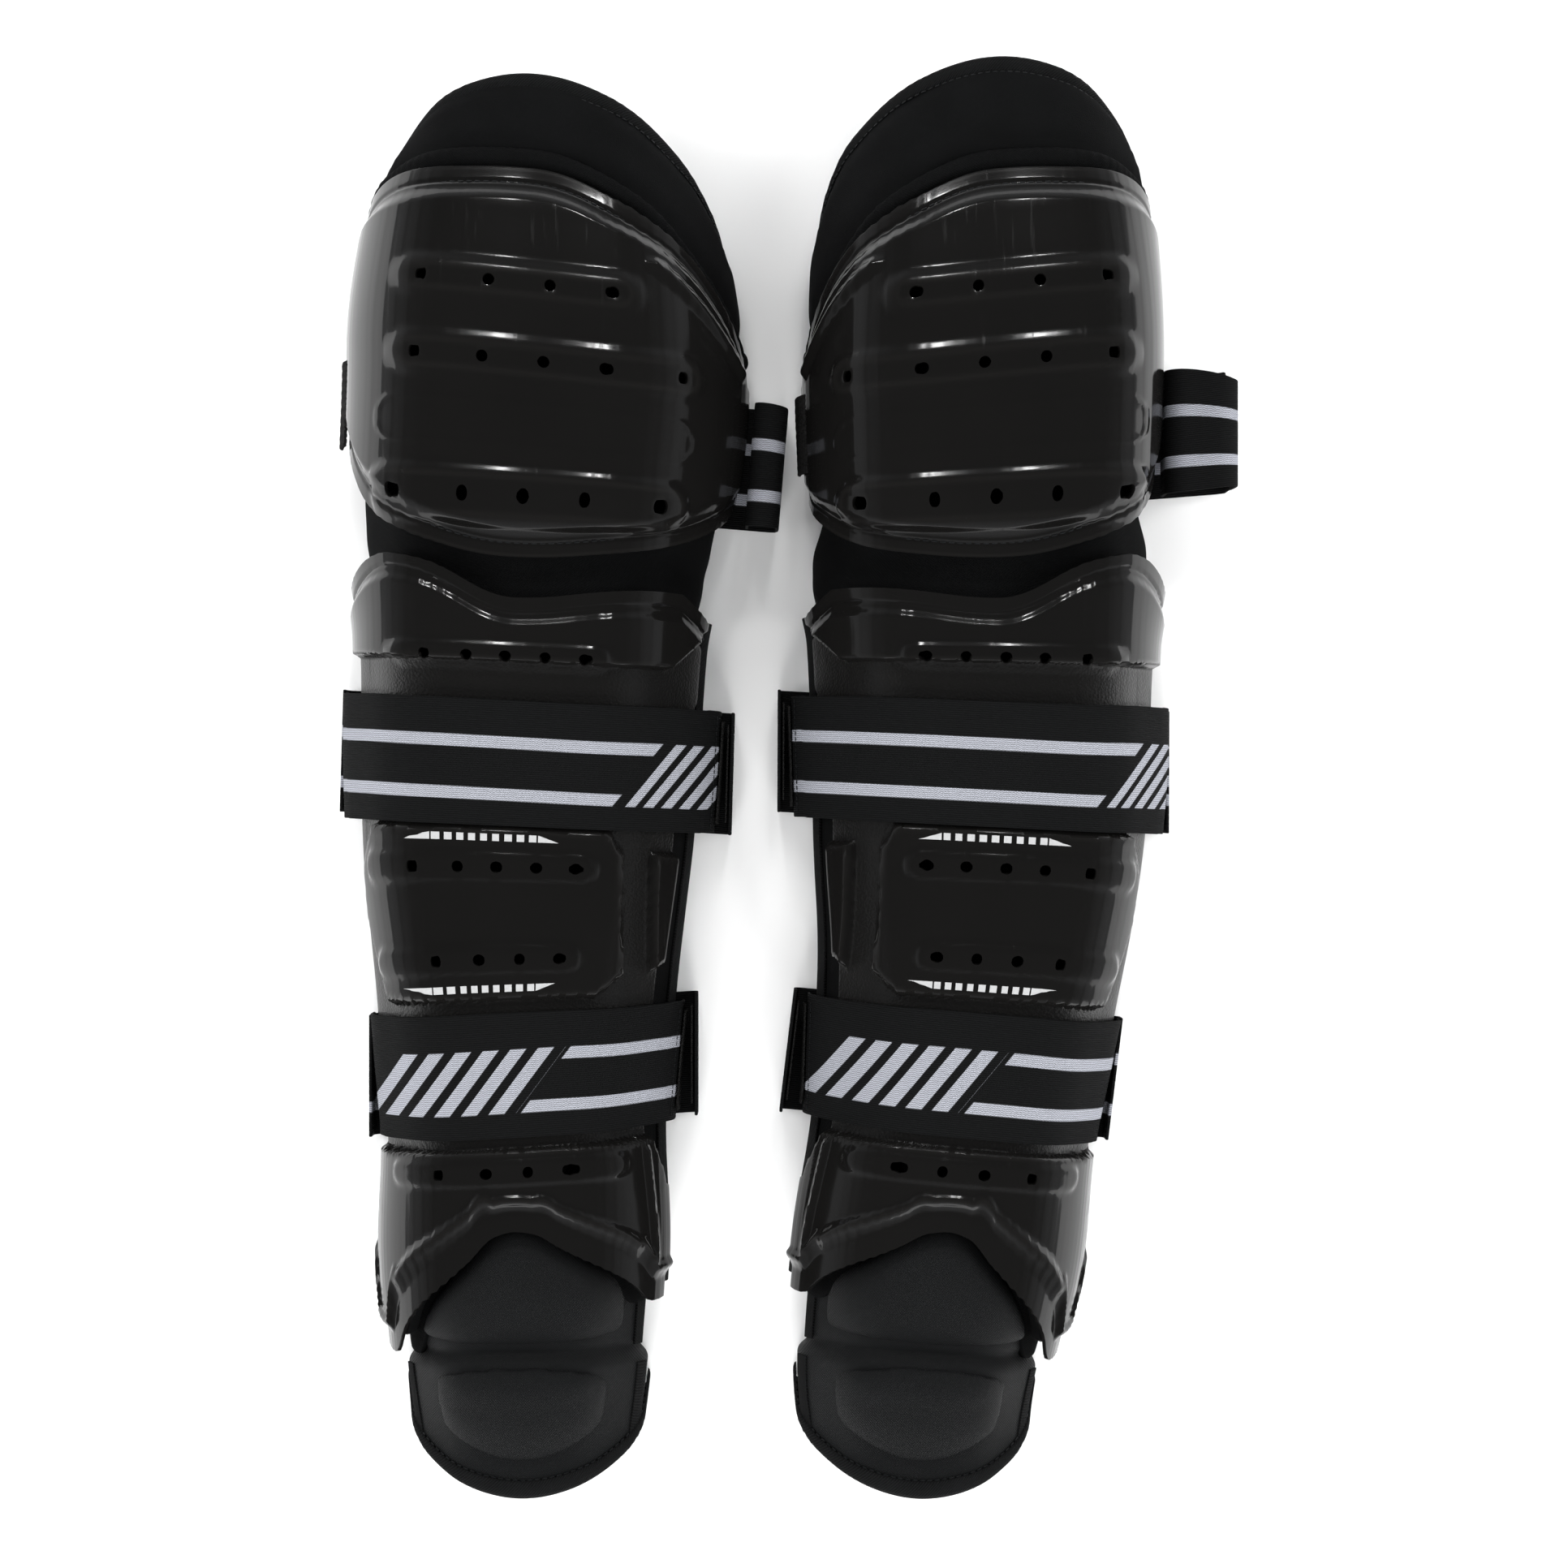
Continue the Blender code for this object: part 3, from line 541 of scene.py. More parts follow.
def makeHook():
    f = Finish("hookAndLoop", 0.08)
    spot = f.place()
    loops = f.add("ShaderNodeTexVoronoi", {}, {"Vector": spot, "Scale": 1500}, "Distance")
    fuzz = f.noise(700, 5, spot)
    colour = f.blend(loops * 0.6 + fuzz * 0.4, grey(0.004), grey(0.02, 0.02))
    return f.finish(colour, 0.85 + fuzz * 0.1, loops + fuzz, 1.0, 0.0012)


def makeSpeckled(name, specular, scale, detail, dark, light, rough, spread, strength):
    f = Finish(name, specular)
    speckle = f.noise(scale, detail)
    return f.finish(f.blend(speckle, dark, light), rough + speckle * spread, speckle, strength, 0.0002)


def makeElastic(name, pattern):
    f = Finish(name, 0.06)
    u, v = f.uv("weave")
    x, y = f.uv("pattern")
    soft = 0.00025
    slanted = x - y * 0.78

    def within(value, low, high):
        return (value - low).above(0, soft) * (high - value).above(0, soft)

    inStripe = (within(y, *stripes[0]) + within(y, *stripes[1])) * within(slanted, *pattern["run"])
    if "bars" in pattern:
        first, pitch, count, width = pattern["bars"]
        inBars = within(slanted, first, first + pitch * count) * within(y, stripes[0][0], stripes[1][1])
        inBars = inBars * (width - (slanted - first).wrapped(pitch)).above(0, soft)
        inStripe = inStripe.sum("MAXIMUM", inStripe, inBars)
    zigzag = ((u * 4300).sin() * 0.9 + v * 7900).sin() * 0.5 + 0.5  # rows of light threads
    rib = (v * 7400).sin() * 0.5 + 0.5
    fuzz = f.noise(1600, 3)
    light = f.blend(zigzag * 0.75 + fuzz * 0.25, grey(0.11, -0.03), (0.36, 0.37, 0.42, 1))
    dark = f.blend(rib * 0.5 + fuzz * 0.5, grey(0.0025), grey(0.0075, -0.03))
    colour = f.blend(inStripe, dark, light)
    height = rib * (1 - inStripe) + zigzag * inStripe + fuzz * 0.3
    return f.finish(colour, 0.8 + fuzz * 0.12, height, 0.6, 0.0004)


print("materials")
plastic, tape, hook = makePlastic(), makeTape(), makeHook()
thread = makeSpeckled("blackThread", 0.5, 3000, 2, grey(0.002), grey(0.010, -0.08), 0.5, 0.2, 0.4)
printInk = makeSpeckled("greyPrint", 0.4, 900, 4, grey(0.28), grey(0.38, -0.01), 0.45, 0.15, 0.2)
knit = makeKnit("blackKnit", 0.0022, 0.0050, 0.0011)
flapKnit = makeKnit("flapKnit", 0.0024, 0.0056, 0.0014)
padKnit = makePadKnit()
stripes = [(-0.0150, -0.0102), (0.0057, 0.0105)]
elastics = {
    "leftCalf": {"run": (-0.2, 0.0485), "bars": (0.0535, 0.0070, 5, 0.0040)},
    "rightCalf": {"run": (-0.2, 0.0560), "bars": (0.0600, 0.0060, 5, 0.0036)},
    "leftAnkle": {"run": (0.0120, 0.2), "bars": (-0.0560, 0.0110, 6, 0.0064)},
    "rightAnkle": {"run": (0.0035, 0.2), "bars": (-0.0620, 0.0105, 6, 0.0064)},
    "loop": {"run": (-1, 1)},
    "plain": {"run": (5, 6)},
}
elastics = {name: makeElastic(name + "Elastic", pattern) for name, pattern in elastics.items()}


kneeRibs = [  # share of the knee, middle, half length, core, height
    (0.651, -0.0088, 0.036, 0.0045, 0.0012), (0.478, 0.0010, 0.047, 0.0050, 0.0015),
    (0.164, -0.0035, 0.047, 0.0062, 0.0019)]
kneePlan = {"flange": 0.0075, "slope": 0.0060, "sink": 0.0022, "seam": 0.0060, "crown": 0.0008,
    "ribSlope": 0.0058, "badge": (0.325, -0.002, 0.048, 0.0080)}
shinRibs = [  # level, middle, half length, core, height
    (shinAt(0.138), -0.0105, 0.034, 0.0030, 0.0016), (shinAt(0.452), -0.0165, 0.037, 0.0032, 0.0018),
    (shinAt(0.589), -0.0165, 0.031, 0.0032, 0.0018), (shinAt(0.909), -0.0080, 0.033, 0.0030, 0.0016)]
shinPlan = {"topPanel": 0.0404, "middleTop": -0.0160, "middleBottom": -0.0855, "bottomPanel": -0.1440,
    "sink": 0.0013, "rise": 0.0014, "edge": 0.0022, "ribSlope": 0.0042, "flange": 0.0072}
kneeVents = [(0.651, 4, 0.0231, -0.0088), (0.478, 5, 0.0231, 0.001), (0.164, 5, 0.0231, -0.0035)]
shinVents = [(0.138, 5, 0.0148, -0.0085), (0.452, 5, 0.0148, -0.0105), (0.589, 4, 0.0148, -0.0095),
    (0.909, 4, 0.0148, -0.0075)]
ventPlan = {"radius": 0.0023, "turnStep": 0.02}
shellStart = 0.45


def frontX(guard, turn, v):
    return (turn - 3) * sizesAt(guard, v)[2] - legShape["facetShift"]


def pillGap(x, v, middle, level, halfLength):
    return np.hypot(np.maximum(np.abs(x - middle) - halfLength, 0), v - level)


def lineGap(x, v, start, end):
    start, end = np.array(start), np.array(end)
    along = end - start
    share = np.clip(((x - start[0]) * along[0] + (v - start[1]) * along[1]) / (along @ along), 0, 1)
    return np.hypot(x - start[0] - share * along[0], v - start[1] - share * along[1])


def polygonGap(x, v, corners):  # how far outside a convex outline, negative inside
    gap = np.full(len(x), -1.0)
    for k, (x0, v0) in enumerate(corners):
        x1, v1 = corners[(k + 1) % len(corners)]
        long = math.hypot(x1 - x0, v1 - v0)
        gap = np.maximum(gap, ((v1 - v0) * (x - x0) - (x1 - x0) * (v - v0)) / long)
    return gap


def sideRound(turn):  # 1 in the middle of each side facet, 0 on the front
    return 0.5 + 0.5 * np.cos(2 * math.pi * np.clip((np.abs(turn - 3) - 1.5) / 1.8, -0.5, 0.5))


def sideGap(turn):
    return np.minimum(turn - shellStart, 6 - shellStart - turn) * 0.022


def kneeRelief(guard, turn, v):  # how proud of the shell's own surface, and where a painted highlight lightens its rib outlines and rim
    x = frontX(guard, turn, v)
    rim = np.minimum(kneeShellTop(turn) - v, v - kneeShellBottom(turn))
    edge = np.minimum(rim, sideGap(turn) + 0.004)
    dome = ease((edge - kneePlan["flange"]) / kneePlan["slope"])
    relief = -kneePlan["sink"] * (1 - dome) + 0.0036 * sideRound(turn)
    relief = relief + kneePlan["crown"] * np.clip(1 - (turn - 3) ** 2, 0, 1)
    relief -= 0.0006 * np.exp(-(((edge - kneePlan["seam"]) / 0.0008) ** 2))
    # painted highlight: a lighter line along each rib's outline and along the rim
    worn = 0
    for share, middle, halfLength, core, height in kneeRibs:
        gap = pillGap(x, v, middle, kneeAt(share), halfLength) - core
        relief = relief + height * ease(1 - gap / kneePlan["ribSlope"])
        worn = worn + ease(1 - np.abs(gap) / 0.002)
    share, middle, halfLength, radius = kneePlan["badge"]
    gap = np.abs(pillGap(x, v, middle, kneeAt(share), halfLength) - radius)
    relief += 0.00045 * ease(1 - gap / 0.0016)
    ridge = lineGap(turn * 0.05, v, (4.05 * 0.05, 0.206), (4.92 * 0.05, 0.172))
    relief += 0.0022 * ease(1 - ridge / 0.0040)
    return relief, np.clip(worn + ease(1 - np.abs(edge - 0.001) / 0.001), 0, 1), np.zeros(len(x))


def shinRelief(guard, turn, v):
    x = frontX(guard, turn, v)
    p = shinPlan
    slope = (archLine(turn + 0.02) - archLine(turn - 0.02)) / 0.04 / sizesAt(guard, v)[2]
    toArch = (v - archLine(turn)) / np.sqrt(1 + slope**2)
    topEdge = np.minimum(shinShellTop(turn) - v, sideGap(turn) + 0.004)
    topGap = polygonGap(x, v, [(-0.09, p["topPanel"]), (0.040, p["topPanel"]), (0.052, p["topPanel"] + 0.008),
        (0.090, p["topPanel"] + 0.008), (0.09, 0.15), (-0.09, 0.15)])
    middle = [(0.0305, p["middleTop"]), (-0.058, p["middleTop"]), (-0.068, -0.032), (-0.066, -0.052),
        (-0.050, p["middleBottom"]), (0.024, p["middleBottom"]), (0.033, -0.076), (0.0355, -0.026)]
    wing = [(0.064, -0.025), (0.046, -0.024), (0.044, -0.077), (0.052, -0.073), (0.062, -0.066)]
    lower = [(-0.09, p["bottomPanel"]), (-0.09, -0.3), (0.09, -0.3), (0.09, p["bottomPanel"])]
    panels = [(topGap, 1), (polygonGap(x, v, middle), 1), (polygonGap(x, v, wing), 0.8),
        (polygonGap(x, v, lower), 1)]
    # painted highlight: a lighter line along each panel's edge and along the arch's crest
    raised, worn = np.zeros(len(x)), np.zeros(len(x))
    for gap, share in panels:
        raised = np.maximum(raised, share * ease(-gap / p["edge"]))
        worn = np.maximum(worn, ease(1 - np.abs(gap + p["edge"]) / 0.0015))
    relief = -p["sink"] + (p["sink"] + p["rise"] + 0.0026 * sideRound(turn)) * raised
    for level, centre, halfLength, core, height in shinRibs:
        gap = pillGap(x, v, centre, level, halfLength) - core
        relief = relief + height * ease(1 - gap / p["ribSlope"])
    flange = 1 - ease((topEdge - p["flange"]) / 0.005)
    relief -= 0.0020 * flange * (v > 0.03)
    relief -= 0.0006 * np.exp(-(((topEdge - 0.0058) / 0.0008) ** 2)) * (v > 0.03)
    lip = 1 - ease((toArch - 0.0075) / 0.0045)
    relief = relief - 0.0020 * lip + 0.0015 * ease(1 - np.abs(toArch - 0.0132) / 0.0030)
    ridge = lineGap(turn * 0.04, v, (4.62 * 0.04, -0.150), (4.75 * 0.04, -0.192))
    relief += 0.0020 * ease(1 - ridge / 0.0030)
    worn = np.maximum(worn, ease(1 - np.abs(toArch - 0.0130) / 0.0015))
    return relief, np.clip(worn, 0, 1), 1 - np.clip(raised * 3, 0, 1)


def openVents(shell, guard, centres, turn, v, relief):  # round holes, cut along the grid and drawn to a circle
    radius, step = ventPlan["radius"], ventPlan["turnStep"]
    mesh = bmesh.new()
    mesh.from_mesh(shell.data)
    mesh.verts.ensure_lookup_table()
    doomed = set()
    for middleTurn, level in centres:
        ends = wrap(guard, middleTurn + np.array([-step, step]), np.array([level, level]), layers["shellLift"])
        facet = np.linalg.norm(ends[1] - ends[0]) / (2 * step)
        x, y = (turn - middleTurn) * facet, v - level
        away = np.hypot(x, y)
        inside = set(np.flatnonzero(away < radius).tolist())
        ring = set()
        for k in inside:
            for face in mesh.verts[k].link_faces:
                ring |= {corner.index for corner in face.verts}
        ring = np.array(sorted(ring - inside))
        angle = np.arctan2(y[ring], x[ring])
        turns, levels = middleTurn + np.cos(angle) * radius / facet, level + np.sin(angle) * radius
        rise = relief(guard, turns, levels)[0]
        for k, spot in zip(ring, wrap(guard, turns, levels, shellTop + rise)):
            mesh.verts[k].co = spot
        doomed |= inside
    bmesh.ops.delete(mesh, geom=[mesh.verts[k] for k in doomed], context="VERTS")
    mesh.to_mesh(shell.data)
    mesh.free()


def makeShell(guard, name, grid, outline, innerEnd, relief, vents, at):
    low, high = outline
    found = {}

    def place(s, t):
        turn = sideways(guard, shellStart, innerEnd(t), s)
        v = low(turn) + (high(turn) - low(turn)) * (t - 0.5 * np.sin(2 * math.pi * t) / (2 * math.pi))
        rise, found["worn"], found["grained"] = relief(guard, turn, v)
        found["turn"], found["level"] = turn, v
        return wrap(guard, turn, v, shellTop + rise)

    shell, _, _ = drape(name, grid[0], grid[1], place)
    # the edge mask carries the painted highlight on ridges and edges to the shader
    for mask in ("worn", "grained"):
        setMask(shell, mask, found[mask])
    centres = []
    for share, count, spacing, middle in vents:
        level = at(share)
        for k in range(count):
            x = middle + (k - (count - 1) / 2) * spacing
            centres.append((3 + (x + legShape["facetShift"]) / facetAt(guard, level), level))
    openVents(shell, guard, centres, found["turn"], found["level"], relief)
    thicken(shell, layers["shell"] * 0.8, -1, 0.0005)
    return shell


def outlineRow(outline, inset, first, last, count=160):
    turns = np.linspace(first, last, count)
    return turns, outline(turns) + inset


def stuff(piece, cap, voxel=0.0016, steps=20):  # swells a pad under its cover, by at most cap
    remesh = piece.modifiers.new("cover", "REMESH")
    remesh.mode, remesh.voxel_size = "VOXEL", voxel
    applyModifiers(piece)
    before = pointsOf(piece)
    cloth = piece.modifiers.new("swell", "CLOTH")
    cloth.settings.use_pressure = True
    cloth.settings.uniform_pressure_force = 4
    cloth.settings.effector_weights.gravity = 0
    cloth.point_cache.frame_end = steps
    for step in range(1, steps + 1):
        bpy.context.scene.frame_set(step)
    applyModifiers(piece)
    bpy.context.scene.frame_set(1)
    move = pointsOf(piece) - before
    size = np.linalg.norm(move, axis=1)[:, None]
    move *= np.minimum(1, cap / np.maximum(size, 1e-9))
    piece.data.vertices.foreach_set("co", (before + move).ravel())
    smooth = piece.modifiers.new("rounding", "SMOOTH")
    smooth.factor, smooth.iterations = 0.5, 4
    finer = piece.modifiers.new("finer", "SUBSURF")
    finer.levels = finer.render_levels = 1
    applyModifiers(piece)


def slab(guard, name, grid, turns, outline, lift, thickness, rim=0.0, ripple=None):
    low, high = outline

    def place(s, t):
        turn = sideways(guard, turns[0], turns[1], s)
        bottom, top = low(turn), high(turn)
        v = bottom + (top - bottom) * t
        rise = 0 if ripple is None else ripple(turn, v, t)
        return wrap(guard, turn, v, lift + rise)

    piece, _, _ = drape(name, grid[0], grid[1], place)
    thicken(piece, thickness, -1, rim)
    return piece


def band(guard, name, path, level, width, thickness, rows=14, roundFrom=1.0, bow=0.0):
    # a strap along (x, z) points; beyond roundFrom it narrows and bows out
    path = np.array(path)
    run = np.concatenate([[0], np.cumsum(np.linalg.norm(np.diff(path, axis=0), axis=1))])
    near = np.array([level - 0.01, level, level + 0.01])
    centres = smoothCurve(guard["lieLevels"], guard["lieCentre"], near)
    skew = smoothCurve(guard["lieLevels"], guard["lieSkew"], near)[1]
    slope = (centres[2] - centres[0]) / 0.02

    def place(s, t):
        share = (s if guard["mirror"] > 0 else 1 - s) * run[-1]
        x, z = np.interp(share, run, path[:, 0]), np.interp(share, run, path[:, 1])
        out = np.clip((np.abs(x) - roundFrom) / 0.030, 0, 1) * (z > 0.004)
        v = level + (t - 0.5) * width * (1 - 0.16 * out**2) - 0.0030 * out**2
        x = x + np.sign(x) * bow * np.sin(np.clip((z - 0.004) / 0.030, 0, 1) * math.pi) * out
        return toPair(guard, np.stack([centres[1] + slope * (v - level) + x, v + skew * x, z], axis=1))

    piece, s, t = drape(name, max(24, int(run[-1] / 0.0022)), rows, place)
    addPattern(piece, guard, (t - 0.5) * width)
    thicken(piece, thickness, 0, thickness * 0.3)
    return piece


def addPattern(piece, guard, offsets):  # a map for the stripes: metres to the right and up
    right = pointsOf(piece)[:, 0] - guard["x"] - shift[0]
    setUv(piece, piece.data.uv_layers.new(name="pattern"), np.stack([right, offsets], axis=1))


def arcPoints(centre, radius, start, end, steps=8):
    angles = [math.radians(start + (end - start) * k / steps) for k in range(steps + 1)]
    return [(centre[0] + radius * math.cos(a), centre[1] + radius * math.sin(a)) for a in angles]


def widest(guard, level):
    return max(sizesAt(guard, level + (straps["width"] / 2 + 0.001) * np.linspace(-1, 1, 9))[0])


frontPlan = {"end": 0.04, "sag": 0.0004, "curl": 0.00018, "patch": (5.22, 5.72), "patchInset": 0.004,
    "seam": 5.12, "seamInset": 0.002, "backInset": 0.010}


def makeFrontStrap(side, guard, which, level, slack):
    half = straps["width"] / 2
    name = f"{side}{which}"
    node = f"{side}_{which.lower()}_strap"
    top = strapTop + slack

    def place(s, t):
        turn = sideways(guard, frontPlan["end"], 6 - frontPlan["end"], s)
        off = slack * np.clip((np.abs(turn - 3) - 1) / 1.2, 0, 1)
        off = off - frontPlan["sag"] * ease(1 - np.abs(turn - 3) / 1.2)
        off = off + frontPlan["curl"] * np.cos((t - 0.5) * 2 * math.pi)
        return wrap(guard, turn, level + (t - 0.5) * 2 * half, top - slack + off)

    strap, _, t = drape(name + "StrapFront", 150, 24, place)
    addPattern(strap, guard, (t - 0.5) * 2 * half)
    thicken(strap, layers["strap"], -1, 0.0004)
    settle(strap, elastics[name], "elastic", side + "_shin", node + "_front")
    inset = half - frontPlan["patchInset"]
    outline = flat(level - inset), flat(level + inset)
    patch = slab(guard, name + "LoopPatch", (14, 30), frontPlan["patch"], outline,
        layers["loopLift"] + layers["patch"] + slack, layers["patch"], 0.0002)
    settle(patch, hook, "hook_and_loop", side + "_shin", node + "_loop_patch")
    reach = half - frontPlan["seamInset"]
    path = np.full(40, frontPlan["seam"]), np.linspace(level - reach, level + reach, 40)
    stitchRow(name + "StrapSeam", guard, path, top + 0.0001, "strap", "elastic", side + "_shin")


def makeBackStrap(side, guard, which, level, slack):
    half, thick, bend = widest(guard, level), layers["strap"], straps["tabBend"]
    body = f"{side}_{which.lower()}_strap"
    base = thick / 2
    hingeX = -(half + layers["frontLift"] + slack + base)
    tabX = half + layers["tabLift"] + slack + base
    path = [(hingeX + 0.004, base), (0, base), *arcPoints((tabX - bend, base + bend), bend, -90, 0),
            (tabX, straps["tabHeight"])]
    back = band(guard, f"{side}{which}StrapBack", path, level, straps["width"], thick)
    settle(back, elastics["plain"], "elastic", body, body + "_back")
    hookX = half + layers["hookLift"] + slack + layers["patch"] / 2
    path = [(hookX, base + bend), (hookX, straps["tabHeight"] - 0.001)]
    patch = band(guard, f"{side}{which}HookPatch", path, level, straps["width"] - frontPlan["backInset"],
        layers["patch"])
    settle(patch, hook, "hook_and_loop", body, body + "_hook_patch")
    curlX = hingeX - thick * 0.1  # the sewn end, turned under the side
    path = [(curlX, 0.013), (curlX, base + bend), *arcPoints((curlX + bend, base + bend), bend, 180, 270),
            (hingeX + 0.008, base)]
    curl = band(guard, f"{side}{which}StrapCurl", path, level, straps["width"], thick)
    settle(curl, elastics[side + which], "elastic", None)
    centre = smoothCurve(guard["lieLevels"], guard["lieCentre"], np.array([level]))[0]
    x, y, _ = toPair(guard, np.array([[centre + hingeX, level, 0]]))[0]
    x + guard["mirror"] * 0.007
    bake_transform(curl)


def makeKneeStrap(side, guard):
    half, thick, top = widest(guard, strapLevel), layers["strap"], straps["loopHeight"]
    base = thick / 2
    innerX = half + layers["frontLift"] + base
    outerX = innerX + guard["loopReach"]
    bend = min(straps["loopBend"], (outerX - innerX) / 2 - 0.0005)
    path = [(-(half + layers["liner"] / 2), base), (0, base),
            *arcPoints((outerX - bend, base + bend), bend, -90, 0),
            *arcPoints((outerX - bend, top - bend), bend, 0, 90),
            *arcPoints((innerX + bend, top - bend), bend, 90, 180), (innerX, 0.010)]
    patchX = innerX + base + 0.0008 + layers["patch"] / 2
    patchPath = [(patchX, 0.011), (patchX, top - bend - 0.002)]
    if guard["mirror"] < 0:
        path, patchPath = ([(-x, z) for x, z in reversed(points)] for points in (path, patchPath))
    body = side + "_knee_strap"
    strap = band(guard, side + "KneeStrap", path, strapLevel, straps["width"], thick, 24, innerX, 0.0010)
    settle(strap, elastics["loop"], "elastic", body, body)
    patch = band(guard, side + "KneeHookPatch", patchPath, strapLevel, straps["width"] - frontPlan["backInset"],
        layers["patch"])
    settle(patch, hook, "hook_and_loop", body, body + "_hook_patch")


def bindEdge(guard, name, edge, width, top, bottom):  # tape folded over an edge
    inward = 1 if edge(np.array([3.0]))[0] < 0 else -1
    section = np.array([(width, top), (width * 0.93, top + 0.0006), (width * 0.5, top + 0.0008),
        (0.0012, top + 0.0002), (0.0001, top - 0.0010), (-0.0005, (top + bottom) / 2),
        (0.0001, bottom + 0.0008), (0.0014, bottom - 0.0001), (width * 0.5, bottom - 0.0003),
        (width, bottom - 0.0001)])
    if inward < 0:
        section = section[::-1]
    run = np.linspace(0, 1, len(section))

    def place(s, t):
        turn = sideways(guard, 0.05, 5.95, s)
        dv, lift = np.interp(t, run, section[:, 0]), np.interp(t, run, section[:, 1])
        return wrap(guard, turn, edge(turn) + inward * dv, lift)

    piece, _, _ = drape(name, 170, 18, place)
    thicken(piece, 0.0006, -1)
    return piece


def shinShellEnd(t):  # the inner edge draws back between the top and the arch
    return 5.02 - 0.30 * ease((t - 0.22) / 0.10) * ease((0.82 - t) / 0.12)


def makeShells(side, guard, shin, knee):
    print(side, "shells")
    shell = makeShell(guard, side + "KneeShell", (220, 180), (kneeShellBottom, kneeShellTop),
        flat(6 - shellStart), kneeRelief, kneeVents, kneeAt)
    settle(shell, plastic, "gloss_shell", knee, knee + "_shell", sharp=45)
    shell = makeShell(guard, side + "ShinShell", (178, 240), (archLine, shinShellTop),
        shinShellEnd, shinRelief, shinVents, shinAt)
    settle(shell, plastic, "gloss_shell", shin, shin + "_shell", sharp=45)
    top = shellTop + 0.0004
    seams = {"KneeTopSeam": (kneeShellTop, -0.0060, 0.0026, knee),
        "KneeFootSeam": (kneeShellBottom, 0.0060, 0.0026, knee),
        "ShinTopSeam": (shinShellTop, -0.0058, 0.0022, shin)}
    for name, (outline, inset, sink, body) in seams.items():
        path = outlineRow(outline, inset, 0.9, 5.1)
        stitchRow(side + name, guard, path, top - sink, "shell", "gloss_shell", body)
    print(side, "foam")
    foams = {"Shin": (shin, (offset(archLine, 0.006), offset(shinShellTop, -0.006))),
        "Knee": (knee, (offset(kneeShellBottom, 0.006), offset(kneeShellTop, -0.006)))}
    for name, (body, outline) in foams.items():
        foam = slab(guard, f"{side}{name}Foam", (80, 60), (0.7, 5.3), outline,
            layers["foamLift"] + layers["foam"], layers["foam"], 0.001)
        settle(foam, knit, "foam", body, body + "_foam", fill=0.9)


flapPlan = {"puff": 0.0034, "lift": 0.0052, "thickness": 0.0048, "rim": 0.0012, "cap": 0.0012, "voxel": 0.0026,
    "fold": (0.150, 0.185), "along": 0.74, "down": 0.67, "seamInset": -0.0076}
rollPlan = {"depth": 0.0098, "height": 0.0072, "crinkle": 0.0002}


def makeRoll(side, guard, knee):
    def bulge(turn, v, t):
        arch = np.sqrt(np.clip(1 - (2 * t - 1) ** 2, 0, 1))
        return rollPlan["height"] * arch + rollPlan["crinkle"] * np.sin(turn * 60)

    outline = offset(kneeRim, -rollPlan["depth"]), offset(kneeRim, 0.0004)
    lift = layers["liner"] + 0.0004
    roll = slab(guard, side + "RimRoll", (170, 16), (0.28, 5.72), outline, lift, 0.0012, 0.0, bulge)
    settle(roll, knit, "knit_fabric", knee, side + "_knee_rim_roll", fill=0.7, sharp=60)


def makeFlap(side, guard):
    def flapEdge(turn):
        return flapTop(guard, turn)

    def puffed(turn, v, t):
        ends = ease(np.minimum(turn, 6 - turn) / 0.5)
        return flapPlan["puff"] * ease(np.minimum(t, 1 - t) * 0.5 / 0.16) * ends

    start, end = ((0, shift[1] + away * flapPlan["along"], shift[2] - away * flapPlan["down"])
        for away in flapPlan["fold"])
    flap = slab(guard, side + "ThighFlap", (120, 40), (0.02, 5.98), (offset(kneeRim, -0.004), flapEdge),
        flapPlan["lift"], flapPlan["thickness"], flapPlan["rim"], puffed)
    stuff(flap, flapPlan["cap"], flapPlan["voxel"])
    settle(flap, flapKnit, "knit_fabric", None, side + "_thigh_flap", fill=0.5, sharp=60)
    binding = bindEdge(guard, side + "ThighBinding", flapEdge, 0.0068, 0.0060, 0.0002)
    settle(binding, tape, "binding_tape", None, side + "_thigh_binding", sharp=60)
    path = outlineRow(flapEdge, flapPlan["seamInset"], 0.3, 5.7)
    seam = stitchRow(side + "ThighSeam", guard, path, 0.0072, "tape", "binding_tape", None)
    for piece in (flap, binding, seam):
        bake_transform(piece)


tapePlan = {"thickness": 0.0012, "rim": 0.0004, "turns": {"Outer": (0.80, 1.10), "Inner": (4.90, 5.20)}}


